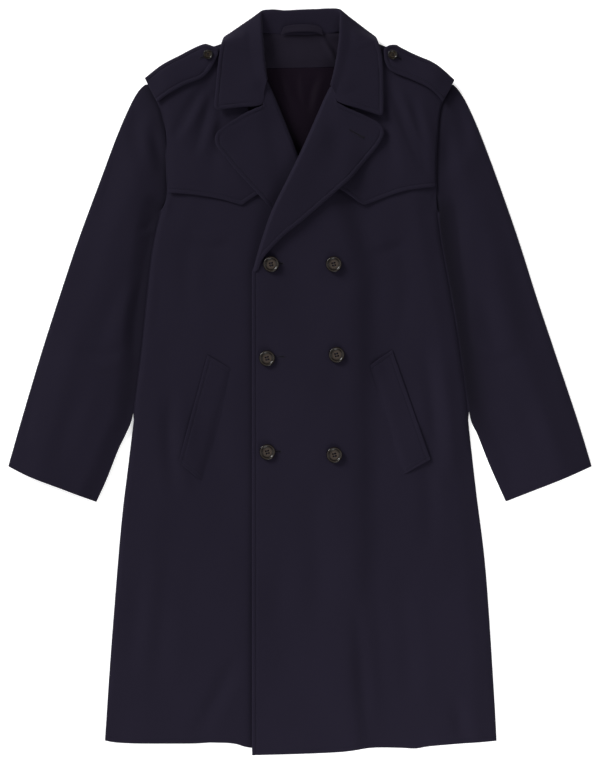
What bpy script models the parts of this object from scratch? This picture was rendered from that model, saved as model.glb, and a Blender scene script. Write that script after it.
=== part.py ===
"""Double-breasted trench coat, laid flat on its back with the front side up.

All sizes are in millimetres and are scaled to metres when a piece becomes a mesh. +X is to the
viewer's right, +Y runs to the collar and +Z is up. The coat rests on z = 0, with the middle of its
outline at x = y = 0. Right and left in the names are the wearer's. Plan outlines are tables of (x, y)
points, from the coat's real size: 1190 from the collar's fold to the hem, 934 from cuff to cuff. Each
piece is a sheet of cloth with a real thickness, which is laid on the pieces below it in the order in
which the coat lies.
"""
import math

import bpy
import numpy as np

MM = 0.001

# Cloth walls: outer cloth with the canvas, facing or lining that it is made up with.
THICKNESS = {
    "collar": 2.4, "back": 1.8, "lining": 1.0, "facing": 1.2, "loop": 1.2, "sleeve": 1.8, "front": 2.2,
    "lapel": 2.6, "flap": 1.6, "epaulette": 2.6, "welt": 1.8,
}
# How far round each place a piece feels what lies under it: stiff or wide pieces bridge more.
REACH = {
    "back": 16, "facing": 12, "lining": 12, "sleeve": 12, "front": 42, "front_edge": 10, "lapel": 16,
    "roll": 10, "flap": 14, "epaulette": 9, "welt": 12, "collar": 8, "loop": 4,
}
LAY_GAP = 0.7          # air between a piece and the one that it lies on
SEWN_GAP = 0.4         # air under a button or a loop
SEAM_GAP = 0.6         # air between two pieces that are sewn edge to edge
HIDDEN_SEAM_INSET = 0.4  # an under sleeve and the back, each from the armhole line
UNDER_INSET = 6.0      # how far the hidden lower layer stops short of a rounded side edge
WRAP = 12.0            # width over which an upper layer rounds down to the floor at such an edge
EDGE_INSET = 1.1       # how far the middle of the wall lies inside the outline at such an edge
EDGE_LIFT = 0.4        # how far a rounded edge stays off the floor
FLAP_INSET = 3.0       # storm flap inside the armhole seam
FLAP_SHOULDER_INSET = 8.0
EPAULETTE_CROWN = 0.6  # extra height along the middle of a shoulder strap
LAPEL_LIFT = 5.0       # how far a lapel lifts off the front at the top of its roll line
LAPEL_LIFT_WIDTH = 24.0
LAPEL_LIFT_AT_BREAK = 0.15  # share of that lift where the roll line ends, above the first button
BODY_PUFF = 2.6        # how far the fronts stand off the back
BODY_PUFF_WIDTH = 50.0
SLEEVE_PUFF = 2.6      # how far a top sleeve stands off its under sleeve
ROLL_RADIUS = 4.5      # radius of the soft fold along the lapel's roll line
ROLL_END_ANGLE = math.radians(-60)
ROLL_STEPS = 5
FOLD_STEPS = 24        # points along a fold's line

CLOTH = (0.0155, 0.0132, 0.0222)
CLOTH_INSIDE = (0.0132, 0.0110, 0.0190)
LINING = (0.0070, 0.0050, 0.0080)
HORN = (0.0075, 0.0060, 0.0060)

# Plan outlines of the right side (x < 0).
RIGHT_SHOULDER = ((-244, 477), (-223, 492), (-191, 511), (-165.5, 525), (-143, 533), (-124, 539.5),
                  (-96, 550))
RIGHT_ARMHOLE = ((-244, 477), (-233, 459), (-226.5, 443), (-221.5, 430.5), (-217.5, 411), (-215, 389),
                 (-214, 361.5), (-213, 329.5), (-212, 302.5), (-214.5, 286.5), (-221.5, 270.5))
RIGHT_SIDE = ((-221.5, 270.5), (-228, 245), (-236, 203), (-242.5, 147), (-252, 54.5), (-261.5, -21),
              (-266.5, -69), (-274.5, -134.5), (-286.5, -238.5), (-301.5, -422.5), (-312, -575))
RIGHT_HEM = ((-312, -575), (-279, -578.5), (-175, -578.5), (-135, -576.5), (-103, -579), (-76, -585.5),
             (1, -589), (77.5, -590.5))
RIGHT_NECK = ((-96, 550), (-90.5, 537.5), (-85.5, 513.5), (-79, 493), (-69, 474), (-57, 462))
RIGHT_FRONT_EDGE = ((65, 188), (77.5, 150), (77.5, -200), (77.5, -590.5))
RIGHT_ROLL = ((-51, 478), (-43, 461), (-31, 433), (-15, 393.5), (-1, 358.5), (36, 277), (72.5, 192))
RIGHT_GORGE = ((-51, 478), (-57.5, 465.5), (-59.5, 453), (-58.5, 438))
RIGHT_LAPEL_TOP = ((-58.5, 438), (-73, 432), (-87, 425.5), (-108, 413), (-123, 402.5))
RIGHT_LAPEL_CORNER = ((-123, 402.5), (-131.5, 395), (-134.5, 385.5), (-132, 374.5), (-124, 363))
RIGHT_LAPEL_LOW = ((-124, 363), (-92, 325.5), (-60, 291), (-44, 273.5), (1, 235), (41, 206), (60, 191))
RIGHT_SLEEVE_OUTER = ((-244, 477), (-257, 465.5), (-271, 441.5), (-292, 393.5), (-319, 321.5),
                      (-354.5, 225.5), (-386.5, 129.5), (-417, 33.5), (-445.5, -62.5), (-466.5, -136))
RIGHT_CUFF = ((-466.5, -136), (-431, -153), (-377, -173.5), (-324, -193.5))
RIGHT_SLEEVE_INNER = ((-221.5, 270.5), (-228, 245), (-236, 203), (-242.5, 147), (-252, 54.5), (-261.5, -21),
                      (-267, -61), (-277.5, -86.5), (-289, -110.5), (-308, -158.5), (-324, -193.5))
RIGHT_FLAP_HEM = ((-209.5, 300), (-175, 297.5), (-143, 293), (-119, 288), (-92, 280))
RIGHT_FLAP_RISE = ((-92, 280), (-79, 289.5), (-66.5, 297), (-57, 302.5))
RIGHT_FLAP_FRONT = ((-103, 543), (-97, 500), (-88, 450), (-72, 380), (-57, 302.5))
RIGHT_STRAP_END = ((-246.5, 483), (-237.5, 464), (-226.5, 444))
RIGHT_STRAP_LOW = ((-226.5, 444), (-207, 457.5), (-183, 470.5), (-159, 480), (-148, 488), (-138.5, 501),
                   (-130, 518.5))
RIGHT_STRAP_TIP = ((-149.5, 537), (-140, 533.5), (-132, 530), (-129, 526), (-130, 518.5))
RIGHT_STRAP_TOP = ((-246.5, 483), (-223, 501), (-207, 510.5), (-191, 518.5), (-175, 527), (-159, 534.5),
                   (-149.5, 537))
RIGHT_WELT = ((-146.5, 41.5), (-106.5, 17.5), (-193, -129.5), (-154.5, -161.5))

# Plan outlines of the left side (x > 0), which lies a little differently.
LEFT_SHOULDER = ((97, 551), (124, 540.5), (145, 532), (164, 526), (193, 511), (225, 493), (244, 477))
LEFT_ARMHOLE = ((244, 477), (234.5, 457.5), (228, 443), (225, 430.5), (222, 401.5), (219.5, 369.5),
                (218.5, 337.5), (219, 310.5), (219, 289.5), (221, 269))
LEFT_SIDE = ((221, 269), (226.5, 225.5), (236, 173), (249, 101), (258.5, 38.5), (266.5, -21),
             (273, -86.5), (284, -182.5), (298.5, -302.5), (310.5, -478.5), (316, -575))
LEFT_HEM = ((-75.5, -596), (1, -593.5), (65, -591), (113, -585.5), (161, -585.5), (185, -586.5),
            (209, -582.5), (257, -578.5), (316, -575))
LEFT_NECK = ((97, 551), (92, 538), (86, 515), (78, 493), (68, 474), (55, 458))
LEFT_FRONT_EDGE = ((-66, 186), (-75.5, 165), (-75.5, -200), (-75.5, -596))
LEFT_ROLL = ((49, 469), (39, 449.5), (26.5, 421), (13.5, 390.5), (-1, 358.5), (-23, 313.5), (-44, 270.5),
             (-60, 225.5), (-74.5, 183))
LEFT_GORGE = ((53, 470), (54, 457), (60, 443))
LEFT_LAPEL_TOP = ((60, 443), (74.5, 435), (89, 429), (113, 417.5), (123, 412.5))
LEFT_LAPEL_CORNER = ((123, 412.5), (132, 405), (134.5, 395), (131, 384), (122.5, 371))
LEFT_LAPEL_LOW = ((122.5, 371), (100, 344), (81, 321.5), (60, 302.5), (33, 278.5), (1, 251), (-23, 232),
                  (-46, 209), (-62, 184))
LEFT_SLEEVE_OUTER = ((244, 477), (255, 465.5), (269.5, 441.5), (290.5, 393.5), (317.5, 321.5), (351, 225.5),
                     (381.5, 129.5), (413.5, 33.5), (445.5, -62.5), (468, -136))
LEFT_CUFF = ((329, -193), (381.5, -172), (433, -151), (468, -136))
LEFT_SLEEVE_INNER = ((221, 269), (226.5, 225.5), (236, 173), (249, 101), (258.5, 38.5), (266.5, -21),
                     (273, -62.5), (284, -86.5), (303, -134.5), (329, -193))
LEFT_FLAP_HEM = ((103, 280), (121, 286.5), (145, 296), (169, 303), (193, 307), (216, 309.5))
LEFT_FLAP_RISE = ((55, 310.5), (66.5, 304), (81, 294.5), (93.5, 285), (103, 280))
LEFT_FLAP_FRONT = ((104, 547), (98, 505), (88, 450), (72, 380), (55, 310.5))
LEFT_STRAP_END = ((247, 480), (239, 464), (228, 445))
LEFT_STRAP_LOW = ((134, 523), (135.5, 510.5), (141.5, 497.5), (153, 489.5), (177, 480), (201, 469),
                  (217, 457.5), (228, 445))
LEFT_STRAP_TIP = ((154.5, 535), (148, 535), (141.5, 533.5), (135, 529), (134, 523))
LEFT_STRAP_TOP = ((154.5, 535), (161, 531), (177, 523), (193, 516), (209, 509.5), (225, 499), (247, 480))
LEFT_WELT = ((113, 25.5), (148, 49.5), (164, -150.5), (209, -125))

# Soft folds of the fronts and sleeves: start, middle and end in plan, half width, depth (minus is a hollow).
BODY_FOLDS = (
    # x0, y0, x1, y1, x2, y2, half width, depth
    (-148, 478, -175, 434, -204, 382, 9, -2.0),
    (-140, 474, -151, 418, -172, 370, 9, -1.6),
    (138, 482, 153, 442, 209, 314, 10, -2.0),
    (177, 458, 190, 402, 209, 346, 9, -1.6),
    (-204, 0, -208, -90, -200, -190, 14, -2.2),
    (200, 50, 212, -30, 224, -160, 14, -2.2),
    (-96, -430, -130, -500, -168, -574, 14, -1.8),
    (88, -350, 96, -470, 106, -586, 12, -2.2),
    (250, -510, 254, -545, 258, -578, 12, -1.8),
)
SLEEVE_FOLDS = (
    (-238, 402, -224, 362, -216, 322, 14, -2.0),
    (-300, 250, -330, 160, -352, 40, 26, -1.6),
    (236, 402, 238, 362, 234, 318, 12, -2.0),
    (318, 270, 352, 150, 372, 20, 24, -1.6),
)

# The collar band, one row for each section, from the right gorge round the neck to the left gorge.
# outer: free edge of the leaf; middle: half-way over the leaf; fold: where leaf and stand meet;
# seam: neck seam; turn: how far the fold has turned over, 0 with the leaf on top in front, 180 with
# the leaf below at the back.
COLLAR_SECTIONS = (
    # outer x, y, z      middle x, y, z       fold x, y, z         seam x, y, z       turn
    (-135.5, 430, 12,    -60.5, 439.5, 15,    -51.5, 478.5, 19,    -64, 474, 10,      0),
    (-134.5, 450, 12,    -87, 456, 16,        -54, 495, 20,        -70, 488, 10,      0),
    (-132.5, 472, 12.5,  -90, 482, 17.5,      -56, 513, 21,        -77, 507, 10,      0),
    (-130.5, 495, 13,    -93, 508, 18,        -57.5, 532, 21.5,    -81, 524, 10,      0),
    (-128, 517, 13,      -93, 530, 18,        -59, 551, 21,        -84, 540, 10,      0),
    (-124, 538.5, 11.5,  -92, 551, 15.5,      -60.5, 569, 18.5,    -80, 551, 9.5,     25),
    (-120, 549, 6.5,     -90, 569, 9.5,       -61, 584, 14.5,      -68, 556, 8.6,     75),
    (-112, 540, 1.2,     -82, 566, 3.2,       -56, 590, 10.5,      -52, 555.5, 7.8,   130),
    (-88, 532, 1.2,      -64, 560, 1.2,       -43, 592, 9.0,       -38, 554, 7.2,     170),
    (-44, 528, 1.2,      -34, 558, 1.2,       -24, 590.5, 8.4,     -22, 553, 6.8,     180),
    (0, 527, 1.2,        0, 558, 1.2,         0, 591.5, 8.4,       0, 553, 6.6,       180),
    (44, 528, 1.2,       34, 558, 1.2,        24, 592.5, 8.4,      22, 553, 6.8,      180),
    (88, 532, 1.2,       66, 561, 1.2,        47, 593.5, 9.0,      42, 554.5, 7.2,    170),
    (112, 540, 1.2,      86, 566, 3.2,        61, 592, 10.5,       56, 556, 7.8,      130),
    (121, 549, 6.5,      94, 569, 9.5,        65.5, 586, 14.5,     72, 557, 8.6,      75),
    (125.5, 538.5, 11.5, 96, 551, 15.5,       65, 569, 18.5,       83, 552, 9.5,      25),
    (131, 518, 13,       96, 531, 18,         64, 550, 21,         86, 541, 10,       0),
    (133, 496, 13,       96, 508, 18,         62, 530, 21.5,       83, 524, 10,       0),
    (133.5, 472, 12.5,   94, 482, 17.5,       59, 511, 21,         80, 507, 10,       0),
    (133.5, 446, 12,     90, 458, 16,         55, 491, 20,         74, 488, 10,       0),
    (133, 420.5, 12,     62, 443.5, 15,       49.5, 470, 19,       62, 466, 10,       0),
)
COLLAR_BACK = (7, 13)         # first and last section that lies under the back
COLLAR_FRONT_TURN = 60        # sections turned less than this rest on the shoulders
FOLD_HALF_HEIGHT = 2.6        # half the height of the collar's fold

BACK_NECK = ((-92, 549), (0, 547), (94, 550))
BACK_HEM_MIDDLE = (0, -580)
NECK_FACING_TOP = ((-92, 551.5), (0, 551.5), (94, 553))
NECK_FACING_LOW = ((-90, 499.5), (0, 500.5), (92, 502.5))
LINING_TOP = ((-86, 499), (0, 500), (88, 502))
LINING_LOW = ((-84, 330), (0, 330), (84, 330))
LOOP_ENDS = ((-26, 551), (33, 551))
LOOP_RISE, LOOP_WIDTH, LOOP_LIFT = 11.0, 10.5, 2.4

FRONT_BUTTONS = ((-45, 185.5), (-51.5, 36), (-51, -113), (54.5, 185.5), (59, 41.5), (55.5, -117.5))
EPAULETTE_BUTTONS = (("right", (-145.5, 519)), ("left", (148, 518.5)))
FRONT_BUTTON_DIAMETER = 25.4
EPAULETTE_BUTTON_DIAMETER = 15.0
# Half section of a button, as shares of its radius: distance from the axis and height.
BUTTON_PROFILE = ((0.70, 0.00), (0.96, 0.10), (1.00, 0.18), (0.90, 0.33), (0.76, 0.30), (0.58, 0.20))
BUTTON_SIDES = 18
HOLE_RADIUS, HOLE_OFFSET, HOLE_SIDES = 0.085, 0.20, 6
HOLE_ENDS = (-0.2, 0.6)       # below and above the button, as shares of its radius

# Steps across and down the pieces, as shares of an edge where they crowd towards a rounded edge.
SLEEVE_COLUMNS = [0, 0.01, 0.035, 0.09, 0.22, 0.41, 0.59, 0.78, 0.91, 0.965, 0.99, 1]
SLEEVE_HEAD = 5               # armhole points over the head of the sleeve
LOW_ARMHOLE_SHARES = [0, 0.28, 0.56, 0.8, 0.93, 1]
FRONT_COLUMNS = [0, 0.008, 0.03, 0.08, 0.18, 0.3, 0.44, 0.58, 0.72, 0.86, 1]
ARMHOLE_SHARES = [0.008, 0.022, 0.05, 0.1, 0.2, 0.35, 0.5, 0.66, 0.83, 1]
NECK_SHARES = [0, 0.02, 0.07, 0.18, 0.4, 0.7, 1]
UNDER_CAP_SHARES = [0.035, 0.12, 0.25, 0.4, 0.55, 0.7, 0.81]
BACK_ARMHOLE_SHARES = UNDER_CAP_SHARES + [1]
FRONT_ROLL_INSET = 9.0
ROLL_SHARES = [0.06, 0.22, 0.4, 0.6, 0.8, 1]
ARMHOLE_ROWS = len(ARMHOLE_SHARES) - 1

# Plan grid on which the heights of laid pieces are kept.
CELL = 4.0
PLAN_X = np.arange(-492, 493, CELL)
PLAN_Y = np.arange(-620, 621, CELL)


# ---- Outlines and plan grids ---------------------------------------------------------------------
def curve(points, steps):
    """Points on a smooth curve through the given ones, by a count of steps or by shares of its length."""
    knots = np.array(points, float)
    padded = np.vstack([2 * knots[0] - knots[1], knots, 2 * knots[-1] - knots[-2]])
    share = np.linspace(0, 1, 17)[:-1, None]
    fine = []
    for a, b, c, d in zip(padded, padded[1:], padded[2:], padded[3:]):
        fine.append(0.5 * (2 * b + (c - a) * share + (2 * a - 5 * b + 4 * c - d) * share ** 2
                           + (3 * b - a - 3 * c + d) * share ** 3))
    fine = np.vstack(fine + [knots[-1:]])
    length = np.concatenate([[0], np.cumsum(np.linalg.norm(np.diff(fine, axis=0), axis=1))])
    shares = np.linspace(0, 1, steps + 1) if isinstance(steps, int) else np.array(steps)
    places = shares * length[-1]
    return np.column_stack([np.interp(places, length, fine[:, i]) for i in range(knots.shape[1])])


def edge(*spans):
    """Join spans of (points, steps) into one edge that keeps the corners between them."""
    parts = [curve(points, steps) for points, steps in spans]
    return np.vstack([part[:-1] for part in parts[:-1]] + [parts[-1]])


def shares_along(points):
    """Share of an edge's length at each of its points."""
    length = np.concatenate([[0], np.cumsum(np.linalg.norm(np.diff(points, axis=0), axis=1))])
    return length / length[-1]


def patch(top, bottom, left, right):
    """Fill four edges with a plan grid: rows run from top to bottom, columns from left to right."""
    top = np.vstack([left[:1], top[1:-1], right[:1]])
    bottom = np.vstack([left[-1:], bottom[1:-1], right[-1:]])
    s = (0.5 * (shares_along(top) + shares_along(bottom)))[None, :, None]
    t = (0.5 * (shares_along(left) + shares_along(right)))[:, None, None]
    across = (1 - t) * top[None] + t * bottom[None]
    down = (1 - s) * left[:, None] + s * right[:, None]
    corners = ((1 - t) * ((1 - s) * top[0] + s * top[-1])) + t * ((1 - s) * bottom[0] + s * bottom[-1])
    return across + down - corners


def moved_in(points, distance):
    """An edge shifted sideways by a distance, to the left of its direction."""
    along = np.gradient(np.array(points, float), axis=0)
    along /= np.linalg.norm(along, axis=1)[:, None]
    return np.array(points, float) + distance * np.column_stack([-along[:, 1], along[:, 0]])


def distance_to(line, plan):
    """Distance of plan points from a line of points."""
    nearest = np.full(plan.shape[:2], np.inf)
    for a, b in zip(line, line[1:]):
        along = b - a
        share = np.clip(np.sum((plan - a) * along, axis=2) / np.dot(along, along), 0, 1)
        nearest = np.minimum(nearest, np.linalg.norm(plan - a - share[..., None] * along, axis=2))
    return nearest


# ---- Heights -------------------------------------------------------------------------------------
def height_map(surface):
    """Heights of a sheet's upper side on the plan grid, with the floor where the sheet isn't."""
    rows, cols = surface.shape[:2]
    spread = max(np.abs(np.diff(surface[..., :2], axis=axis)).max() for axis in (0, 1))
    fold = int(math.ceil(spread / (0.6 * CELL)))
    fine_rows = np.linspace(0, rows - 1, (rows - 1) * fold + 1)
    fine_cols = np.linspace(0, cols - 1, (cols - 1) * fold + 1)
    r0, c0 = np.minimum(fine_rows.astype(int), rows - 2), np.minimum(fine_cols.astype(int), cols - 2)
    fr, fc = (fine_rows - r0)[:, None, None], (fine_cols - c0)[None, :, None]
    near = (1 - fc) * surface[r0][:, c0] + fc * surface[r0][:, c0 + 1]
    far = (1 - fc) * surface[r0 + 1][:, c0] + fc * surface[r0 + 1][:, c0 + 1]
    fine = ((1 - fr) * near + fr * far).reshape(-1, 3)
    heights = np.zeros((len(PLAN_Y), len(PLAN_X)))
    ix = np.rint((fine[:, 0] - PLAN_X[0]) / CELL).astype(int)
    iy = np.rint((fine[:, 1] - PLAN_Y[0]) / CELL).astype(int)
    np.maximum.at(heights, (iy, ix), fine[:, 2])
    return heights


def neighbours(heights, reach):
    """The height map shifted to every cell within reach."""
    cells = int(math.ceil(reach / CELL))
    for dy in range(-cells, cells + 1):
        for dx in range(-cells, cells + 1):
            if math.hypot(dx, dy) * CELL <= reach + 0.01:
                yield np.roll(np.roll(heights, dy, axis=0), dx, axis=1)


def bed(below, reach):
    """A soft surface over the laid pieces: the highest within reach of each place, then evened out."""
    highest = np.maximum.reduce([piece["heights"] for piece in below])
    raised = np.maximum.reduce(list(neighbours(highest, reach)))
    return np.mean(list(neighbours(raised, 0.75 * reach)), axis=0)


def height_at(heights, x, y):
    """Height of a map at plan points, between its cells."""
    fx, fy = (x - PLAN_X[0]) / CELL, (y - PLAN_Y[0]) / CELL
    ix, iy = np.floor(fx).astype(int), np.floor(fy).astype(int)
    fx, fy = fx - ix, fy - iy
    low = (1 - fx) * heights[iy, ix] + fx * heights[iy, ix + 1]
    high = (1 - fx) * heights[iy + 1, ix] + fx * heights[iy + 1, ix + 1]
    return (1 - fy) * low + fy * high


def folds(x, y, table):
    """Sum of the soft folds at plan points; each fades out towards its ends."""
    total = np.zeros_like(x)
    for x0, y0, x1, y1, x2, y2, half_width, depth in table:
        nearest = np.full_like(x, 1e9)
        strength = np.zeros_like(x)
        line = curve(((x0, y0), (x1, y1), (x2, y2)), FOLD_STEPS)
        for i, (px, py) in enumerate(line):
            distance = np.hypot(x - px, y - py)
            closer = distance < nearest
            nearest = np.where(closer, distance, nearest)
            strength = np.where(closer, math.sin(math.pi * (i + 1) / (FOLD_STEPS + 2)), strength)
        total += depth * strength * np.exp(-(nearest / half_width) ** 2)
    return total


def soft_step(value, width):
    """0 at nought and below, 1 at width and above."""
    share = np.clip(value / width, 0, 1)
    return share * share * (3 - 2 * share)


def rounded_edge(distance):
    """How far a layer has risen at a distance from its rounded side edge: 0 at the edge, 1 inside."""
    share = np.clip(distance / WRAP, 0, 1)
    return np.sqrt(1 - (1 - share) ** 2)


def edge_distance(plan, side):
    """Distance of each grid point from one edge of the grid, along its row or column."""
    border = {"left": plan[:, :1], "right": plan[:, -1:], "top": plan[:1], "bottom": plan[-1:]}[side]
    return np.linalg.norm(plan - border, axis=2)


# ---- Solids --------------------------------------------------------------------------------------
def material(name, colour, roughness):
    """A Principled BSDF material."""
    result = bpy.data.materials.new(name)
    result.use_nodes = True
    shader = result.node_tree.nodes["Principled BSDF"]
    shader.inputs["Base Color"].default_value = (*colour, 1)
    shader.inputs["Roughness"].default_value = roughness
    shader.inputs["Metallic"].default_value = 0.0
    return result


def add_object(name, points, faces, colour, roughness):
    """Make a mesh object from points in millimetres."""
    mesh = bpy.data.meshes.new(name)
    mesh.from_pydata([tuple(p) for p in np.asarray(points) * MM], [], faces)
    mesh.materials.append(material(name, colour, roughness))
    mesh.shade_smooth()
    mesh.set_sharp_from_angle(angle=math.radians(40))
    result = bpy.data.objects.new(name, mesh)
    bpy.context.scene.collection.objects.link(result)
    return result


def grid_normals(grid):
    """Unit normals of a grid of points, up where its rows run to -Y and its columns to +X."""
    normals = np.cross(np.gradient(grid, axis=0), np.gradient(grid, axis=1))
    return normals / np.linalg.norm(normals, axis=2)[..., None]


def sheet(name, middle, thickness, colour):
    """A cloth wall round a grid of middle points: two sides and a rim. Returns it with its height map."""
    rows, cols = middle.shape[:2]
    normals = grid_normals(middle)
    sides = [middle + half * thickness * normals for half in (0.5, -0.5)]
    for side in sides:
        side[..., 2] = np.maximum(side[..., 2], 0)
    points = np.vstack([side.reshape(-1, 3) for side in sides])
    lower = rows * cols
    faces = []
    for r in range(rows - 1):
        for c in range(cols - 1):
            a, b = r * cols + c, (r + 1) * cols + c
            faces.append((a, b, b + 1, a + 1))
            faces.append((lower + a, lower + a + 1, lower + b + 1, lower + b))
    rim = [c for c in range(cols)] + [r * cols + cols - 1 for r in range(1, rows)]
    rim += [(rows - 1) * cols + c for c in range(cols - 2, -1, -1)]
    rim += [r * cols for r in range(rows - 2, 0, -1)]
    for a, b in zip(rim, rim[1:] + rim[:1]):
        faces.append((a, b, lower + b, lower + a))
    add_object(name, points, faces, colour, 0.85)
    return {"heights": height_map(sides[0]), "middle": middle}


def laid(plan, below, reach, thickness, form=0.0, gap=LAY_GAP):
    """Middle heights of a sheet that rests on the pieces below it, or is held higher by its form."""
    rest = height_at(bed(below, reach), plan[..., 0], plan[..., 1])
    return np.maximum(rest + gap * np.clip(rest, 0, 1), form) + thickness / 2


def with_heights(plan, heights):
    """Plan points and heights as one grid of points."""
    return np.dstack([plan, np.broadcast_to(heights, plan.shape[:2])])


def rolled(middle, side, below, thickness):
    """Add the soft fold of a lapel's roll line, which turns down from the grid's left or right edge."""
    if side == "right":
        return rolled(middle[:, ::-1], "left", below, thickness)[:, ::-1]
    first, second = middle[:, 0], middle[:, 1]
    along = np.gradient(first[:, :2], axis=0)
    outward = np.column_stack([along[:, 1], -along[:, 0]]) / np.linalg.norm(along, axis=1)[:, None]
    outward *= np.sign(np.sum(outward * (first - second)[:, :2], axis=1))[:, None]
    floor = height_at(bed(below, REACH["roll"]), first[:, 0], first[:, 1]) + LAY_GAP + thickness / 2
    radius = np.clip((first[:, 2] - floor) / (1 - math.sin(ROLL_END_ANGLE)), 0.55 * thickness, ROLL_RADIUS)
    turns = []
    for angle in np.linspace(ROLL_END_ANGLE, math.pi / 2, ROLL_STEPS + 1)[:-1]:
        turn = first.copy()
        turn[:, :2] += outward * (ROLL_RADIUS - radius + radius * math.cos(angle))[:, None]
        turn[:, 2] += radius * (math.sin(angle) - 1)
        turns.append(turn)
    return np.concatenate([np.stack(turns, axis=1), middle], axis=1)


def button(name, centre, diameter, below):
    """A turned button with four holes, resting on the highest cloth under it."""
    radius = diameter / 2
    from_centre = np.hypot(PLAN_X[None, :] - centre[0], PLAN_Y[:, None] - centre[1])
    around = from_centre <= radius * BUTTON_PROFILE[0][0]
    base = max(piece["heights"][around].max() for piece in below) + SEWN_GAP
    points, faces = [], []
    for share, height in BUTTON_PROFILE:
        for i in range(BUTTON_SIDES):
            angle = 2 * math.pi * i / BUTTON_SIDES
            flat = radius * share
            points.append((flat * math.cos(angle), flat * math.sin(angle), radius * height))
    for ring in range(len(BUTTON_PROFILE) - 1):
        for i in range(BUTTON_SIDES):
            a, b = ring * BUTTON_SIDES + i, ring * BUTTON_SIDES + (i + 1) % BUTTON_SIDES
            faces.append((a, b, b + BUTTON_SIDES, a + BUTTON_SIDES))
    faces.append(tuple(range(BUTTON_SIDES - 1, -1, -1)))
    faces.append(tuple(len(points) - BUTTON_SIDES + i for i in range(BUTTON_SIDES)))
    disc = add_object(name, points, faces, HORN, 0.3)
    disc.location = (centre[0] * MM, centre[1] * MM, base * MM)
    holes = button_holes(name + "_holes", radius)
    holes.parent = disc
    cut = disc.modifiers.new("Holes", "BOOLEAN")
    cut.operation = "DIFFERENCE"
    cut.object = holes
    return disc


def button_holes(name, radius):
    """The four holes of a button as one hidden cutter."""
    points, faces = [], []
    for turn in range(4):
        middle = math.pi / 4 + turn * math.pi / 2
        start = len(points)
        for height in HOLE_ENDS:
            for i in range(HOLE_SIDES):
                angle = 2 * math.pi * i / HOLE_SIDES
                points.append((radius * (HOLE_OFFSET * math.cos(middle) + HOLE_RADIUS * math.cos(angle)),
                               radius * (HOLE_OFFSET * math.sin(middle) + HOLE_RADIUS * math.sin(angle)),
                               radius * height))
        for i in range(HOLE_SIDES):
            a, b = start + i, start + (i + 1) % HOLE_SIDES
            faces.append((a, b, b + HOLE_SIDES, a + HOLE_SIDES))
        faces.append(tuple(start + i for i in range(HOLE_SIDES - 1, -1, -1)))
        faces.append(tuple(start + HOLE_SIDES + i for i in range(HOLE_SIDES)))
    cutter = add_object(name, points, faces, HORN, 0.3)
    cutter.hide_render = True
    cutter.display_type = "WIRE"
    return cutter


# ---- The collar ----------------------------------------------------------------------------------
def halved(table):
    """The rows of a table, with the mean of each two between them."""
    result = np.repeat(np.array(table, float), 2, axis=0)[:-1]
    result[1::2] = 0.5 * (result[:-1:2] + result[2::2])
    return result


def collar_grid():
    """Middle points of the collar band: a row for each section, from the neck seam to the free edge."""
    rows = []
    for row in halved(COLLAR_SECTIONS):
        outer, middle, fold, seam = row[0:3], row[3:6], row[6:9], row[9:12]
        away = fold[:2] - seam[:2]
        away /= np.linalg.norm(away)
        turn = math.radians(row[12])
        leaf_side = np.array([*(away * math.sin(turn)), math.cos(turn)]) * FOLD_HALF_HEIGHT
        rows.append(fold_section(outer, middle, fold, leaf_side, seam))
    return np.array(rows)


def fold_section(outer, middle, fold, leaf_side, seam):
    """One section across the collar band, from the neck seam over the fold to the free edge."""
    inside_leaf, inside_stand = middle - fold, seam - fold
    inside_leaf = inside_leaf / np.linalg.norm(inside_leaf) * FOLD_HALF_HEIGHT
    inside_stand = inside_stand / np.linalg.norm(inside_stand) * FOLD_HALF_HEIGHT
    stand_turn = fold - leaf_side + inside_stand
    leaf_turn = fold + leaf_side + inside_leaf
    points = [seam, 0.5 * (seam + stand_turn), stand_turn, fold, leaf_turn]
    points += [leaf_turn + share * (middle - leaf_turn) for share in (0.4, 1.0)]
    points += [middle + share * (outer - middle) for share in (0.5, 1.0)]
    return np.array(points)


# ---- The pieces, in the order in which they are laid ---------------------------------------------
def straight(start, end, steps):
    """An edge with no bend."""
    return curve((start, end), steps)


def flat_piece(name, kind, plan, below, colour):
    """A piece that only lies on what is below it."""
    thickness = THICKNESS[kind]
    return sheet(name, with_heights(plan, laid(plan, below, REACH[kind], thickness)), thickness, colour)


def back_piece(below):
    """Back: one plain piece, inset where the fronts round over its side edges."""
    left = edge((moved_in(RIGHT_ARMHOLE, HIDDEN_SEAM_INSET), BACK_ARMHOLE_SHARES),
                (moved_in(RIGHT_SIDE, UNDER_INSET), 14))
    right = edge((moved_in(LEFT_ARMHOLE, -HIDDEN_SEAM_INSET), BACK_ARMHOLE_SHARES),
                 (moved_in(LEFT_SIDE, -UNDER_INSET), 14))
    top = edge((moved_in(RIGHT_SHOULDER, -UNDER_INSET), 4), (BACK_NECK, 6),
               (moved_in(LEFT_SHOULDER, -UNDER_INSET), 4))
    bottom = curve((left[-1], BACK_HEM_MIDDLE, right[-1]), 14)
    plan = patch(top, bottom, left, right)
    return flat_piece("back", "back", plan, below, CLOTH)


def neck_facing(below):
    """Back-neck facing: a strip from the neck seam down to the lining."""
    ends = [straight(NECK_FACING_TOP[i], NECK_FACING_LOW[i], 3) for i in (0, -1)]
    plan = patch(curve(NECK_FACING_TOP, 8), curve(NECK_FACING_LOW, 8), *ends)
    return flat_piece("neck_facing", "facing", plan, below, CLOTH_INSIDE)


def back_lining(below):
    """Lining of the back, as far as it shows in the neck opening."""
    ends = [straight(LINING_TOP[i], LINING_LOW[i], 7) for i in (0, -1)]
    plan = patch(curve(LINING_TOP, 7), curve(LINING_LOW, 7), *ends)
    return flat_piece("back_lining", "lining", plan, below, LINING)


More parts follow.
